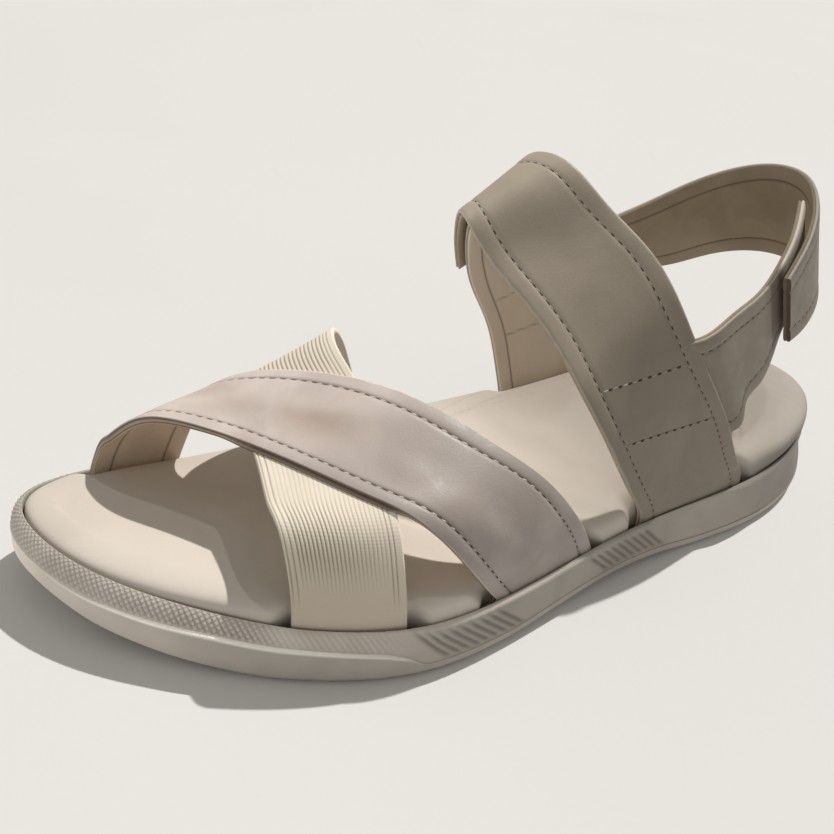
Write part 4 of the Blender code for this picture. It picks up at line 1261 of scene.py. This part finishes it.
def dressRows(name, tree, sets, values):
    place, run, up = (np.concatenate([s[i] for s in sets]) for i in range(3))
    mesh = bpy.data.meshes.new(name + "Points")
    mesh.from_pydata(((place - origin) * mm).tolist(), [], [])
    for key, vectors in (("run", run), ("up", up)):
        mesh.attributes.new(key, "FLOAT_VECTOR", "POINT").data.foreach_set("vector", vectors.ravel())
    carrier = addObject(name + "Points", mesh)
    nodes = carrier.modifiers.new("rows", "NODES")
    nodes.node_group = tree
    for socket in tree.interface.items_tree:
        if socket.in_out == "INPUT" and socket.name in values:
            nodes[socket.identifier] = values[socket.name]
    graph = bpy.context.evaluated_depsgraph_get()
    made = bpy.data.meshes.new_from_object(carrier.evaluated_get(graph))
    made.name = name
    bpy.data.objects.remove(carrier)
    return addObject(name, made)


def threadMaterial(finish):
    material, tree, shader, where = startMaterial(finish)
    twist = addNode(tree, "ShaderNodeTexWave", {"Vector": where, "Scale": finish["twist"], "Distortion": 2.0})
    tree.links.new(lowToHigh(tree, twist.outputs["Fac"], finish), shader.inputs["Base Color"])
    bumpInto(tree, shader, twist.outputs["Fac"], finish["bump"], bumpHeight["thread"])
    return material


def holeMaterial(finish):
    material, tree, shader, where = startMaterial(finish)
    # mottled painted shade of a needle hole
    holeMottle = addNode(tree, "ShaderNodeTexNoise", {"Vector": where, "Scale": finish["holeMottle"]})
    tree.links.new(lowToHigh(tree, holeMottle.outputs[0], finish), shader.inputs["Base Color"])
    return material


def rowValues(size, lean, seed, material):
    length, width, height = (side * mm for side in size)
    return {"Length": length, "Width": width, "Height": height, "Lean": math.radians(lean),
            "Seed": seed, "Finish": material}


def makeStitches(forefoot, rear):
    look = stitchLook
    paths = {"forefoot": rowsOnStrap(forefoot, *look["forefootRow"]), "rear": []}
    for key, (start, short) in look["rearRows"].items():
        paths["rear"] += rowsOnStrap(rear[key], start, rear[key]["along"].max() - short)
        if key == "instep":
            paths["rear"] += [rowAcrossStrap(rear[key], *places) for places in look["crossRows"]]
    thread, hole = (makeRowTree(name, rings) for name, rings in zip(("threadRow", "holeRow"), look["rings"]))
    finishes = {"forefoot": threadMaterial(forefootThreadFinish), "rear": threadMaterial(threadFinish)}
    pieces, holes = [], []
    for number, (key, rows) in enumerate(paths.items()):
        sets = [stitchPoints(*row) for row in rows if len(row[0]) > 2]
        values = rowValues(look["thread"][key], look["lean"], number, finishes[key])
        pieces.append(dressRows(key + "Stitches", thread, [s[0] for s in sets], values))
        holes += [s[1] for s in sets]
    values = rowValues(look["hole"], 0.0, look["holeSeed"], holeMaterial(holeFinish))
    pieces.append(dressRows("needleHoles", hole, holes, values))
    return pieces


# Hook-and-loop patches between the fastened straps

patchLook = {
    "strapRows": {"instep": (-8, -1), "heel": (-6, -1)},    # control rows that each patch lies under
    "span": (0.15, 0.85),            # shares of the strap's width
    "rows": 40,
    "edgeRound": 0.4,
}
pileFinish = {"name": "loopPile", "low": (0.26, 0.22, 0.18), "high": (0.42, 0.37, 0.31), "clouds": 300.0,
              "fleckScale": 2600.0, "flecks": 0.5, "fuzz": 3000.0, "rough": 0.95, "sheen": 0.3, "bump": 0.8}


def pileMaterial(finish):
    material, tree, shader, where = startMaterial(finish)
    tree.links.new(mottledColour(tree, where, finish), shader.inputs["Base Color"])
    fuzz = addNode(tree, "ShaderNodeTexNoise", {"Vector": where, "Scale": finish["fuzz"], "Detail": 4.0})
    bumpInto(tree, shader, fuzz.outputs[0], finish["bump"], bumpHeight["pile"])
    return material


def makePatches():
    look, material = patchLook, pileMaterial(pileFinish)
    controls = rearControls()
    pieces = []
    for key, (first, last) in look["strapRows"].items():
        control, inside = controlGrid(controls[key], strapRows[key]), insideOf[key]
        under = control - outward(control, inside) * (shoe["strapWall"] + shoe["gap"])
        surface = rearSurface(between(under[first:last], *look["span"]), inside, look["rows"])
        patch = bandPiece(key + "Patch", surface, -shoe["patchWall"], 0.0, look["edgeRound"], material)
        pieces.append((key, patch))
    return pieces


# Stage: floor, lights and camera

cameraLook = {
    "focal": 1000.0,             # in pixels of a frame 834 pixels wide
    "frameWidth": 834.0,
    "sensor": 36.0,
    "azimuth": 56.94,
    "elevation": 32.03,
    "roll": 8.0,
    "distance": 300.57,
    "target": (-14.49, -16.58, 30.0),
}
lightLook = {
    # name, kind, place that it lights, direction from there, distance, power, size (a sun's in degrees),
    # cone in degrees
    "lamps": (
        ("backLamp", "SUN", (0.0, -80.0, 25.0), (-0.21, 0.555, 1.0), 1.0, 1.42, 1.2, 0.0),
        ("toeLamp", "SPOT", (5.0, -85.0, 25.0), (-0.21, 0.555, 1.0), 2.4, 116.0, 0.048, 5.3),
        ("innerLamp", "SPOT", (5.0, -85.0, 25.0), (0.10, 0.37, 1.0), 1.2, 5.0, 0.024, 10.5),
        ("heelLamp", "SPOT", (30.0, 92.0, 28.0), (0.05, 0.10, 1.0), 1.2, 5.0, 0.05, 5.5),
        ("frontLamp", "AREA", (-10.0, 5.0, 100.0), (-0.45, -0.8, 1.0), 0.25, 0.50, 0.2, 0.0),
        ("rimLamp", "AREA", (10.0, -115.0, 12.0), (-0.3, -1.0, 0.3), 0.35, 1.1, 0.2, 0.0),
        ("sideLamp", "AREA", (20.0, -95.0, 14.0), (0.4, -1.0, 0.8), 0.35, 0.85, 0.2, 0.0),
        ("floorLamp", "SUN", (0.0, 0.0, 0.0), (-0.21, 0.555, 1.0), 1.0, 0.75, 1.2, 0.0),
    ),
    "notFront": ("outsoleShell", "midsoleShell", "footbedCushion", "elasticBand", "heelLining",
                 "instepLining", "lateralLining"),
    "clear": ("medial", "heel", "instepPatch"),      # pieces that throw no hard shadow on the footbed
    "warmth": (1.0, 0.97, 0.93),
    "coneBlend": 0.5,
    "sky": (1.0, 0.975, 0.92),
    "fill": 0.32,
}
floorReach = 4.0             # metres
floorFinish = {"name": "paleFloor", "low": (0.88, 0.88, 0.87), "high": (0.90, 0.90, 0.89), "clouds": 3.0,
               "fleckScale": 300.0, "flecks": 0.05, "rough": 0.8}


def makeCamera():
    look = cameraLook
    a, e, r = (math.radians(look[k]) for k in ("azimuth", "elevation", "roll"))
    back = Vector((math.sin(a) * math.cos(e), -math.cos(a) * math.cos(e), math.sin(e)))
    right = (-back).cross(Vector((0, 0, 1))).normalized()
    up = right.cross(-back)
    rolled = right * math.cos(r) + up * math.sin(r)
    upright = up * math.cos(r) - right * math.sin(r)
    place = (Vector(look["target"]) + back * look["distance"] - Vector(origin)) * mm
    camera = addObject("camera", bpy.data.cameras.new("camera"))
    camera.data.sensor_width = look["sensor"]
    camera.data.lens = look["focal"] * look["sensor"] / look["frameWidth"]
    camera.data.clip_start = 0.01
    turn = Matrix((rolled, upright, back)).transposed().to_4x4()
    camera.matrix_world = Matrix.Translation(place) @ turn
    bpy.context.scene.camera = camera


def makeLights():
    look = lightLook
    for name, kind, at, toward, distance, power, size, cone in look["lamps"]:
        direction = Vector(toward).normalized()
        lamp = addObject(name, bpy.data.lights.new(name, kind))
        lamp.data.energy = power
        lamp.data.color = look["warmth"]
        if kind == "SUN":
            lamp.data.angle = math.radians(size)
        elif kind == "SPOT":
            lamp.data.shadow_soft_size = size / 2
            lamp.data.spot_size = math.radians(cone)
            lamp.data.spot_blend = look["coneBlend"]
        else:
            lamp.data.size = size
        lamp.location = (Vector(at) - Vector(origin)) * mm + direction * distance
        lamp.rotation_mode = "QUATERNION"
        lamp.rotation_quaternion = direction.to_track_quat("Z", "Y")
    world = bpy.data.worlds.new("studio")
    bpy.context.scene.world = world
    world.use_nodes = True
    sky = world.node_tree.nodes["Background"]
    sky.inputs["Color"].default_value = (*look["sky"], 1.0)
    sky.inputs["Strength"].default_value = look["fill"]
    bpy.context.scene.view_settings.view_transform = "Standard"


def makeFloor():
    material, tree, shader, where = startMaterial(floorFinish)
    tree.links.new(mottledColour(tree, where, floorFinish), shader.inputs["Base Color"])
    corners = [(x * floorReach, y * floorReach, 0) for x, y in ((-1, -1), (1, -1), (1, 1), (-1, 1))]
    mesh = bpy.data.meshes.new("floor")
    mesh.from_pydata(corners, [], [(0, 1, 2, 3)])
    mesh.materials.append(material)
    floor = addObject("floor", mesh)


def gather(name, pieces):
    made = bpy.data.collections.new(name)
    for piece in pieces:
        made.objects.link(piece)
    return made


def linkLights():            # the pieces that each lamp lights, and those that block the two main ones
    look = lightLook
    meshes = [piece for piece in bpy.context.scene.collection.objects if piece.type == "MESH"]
    sandal = [piece for piece in meshes if piece.name != "floor"]
    lit = {"toeLamp": sandal, "innerLamp": sandal,
           "frontLamp": [piece for piece in sandal if piece.name not in look["notFront"]]}
    for lamp, name in (("heelLamp", "footbedCushion"), ("rimLamp", "outsoleShell"),
                       ("sideLamp", "midsoleShell"), ("floorLamp", "floor")):
        lit[lamp] = [piece for piece in meshes if piece.name == name]
    for lamp, pieces in lit.items():
        bpy.data.objects[lamp].light_linking.receiver_collection = gather(lamp + "Lights", pieces)
    blocking = [piece for piece in meshes if not piece.name.startswith(look["clear"])
                and not piece.name.endswith("Stitches")]
    for lamp in ("backLamp", "toeLamp"):
        bpy.data.objects[lamp].light_linking.blocker_collection = gather(lamp + "Blockers", blocking)


makeCamera()
makeLights()
makeFloor()
print("stage: camera, light and floor")

settle(makeOutsole(), "outsole")
settle(makeMidsole(), "midsole")
footbed = settle(makeFootbed(), "footbed")
print("sole: outsole, midsole and footbed")

lining = leatherMaterial(liningFinish)
settle(makeElastic(), "forefoot_straps")
band, under, forefootSurface = makeLeather(leatherMaterial(litForefootLiningFinish))
settle(band, "forefoot_straps")
settle(under)
print("forefoot: elastic and leather")

rearSurfaces, rearPieces = makeRearStraps(lining)
for key, (outer, inner) in rearPieces.items():
    settle(outer, strapNodes[key])
    settle(inner)
for key, patch in makePatches():
    settle(patch, key + "_fastener")
print("rear: instep strap, heel strap and quarters")

for stitches in makeStitches(forefootSurface, rearSurfaces):
    settle(stitches)
print("stitches: sewn")

linkLights()
print("stage: lamps linked to their pieces")
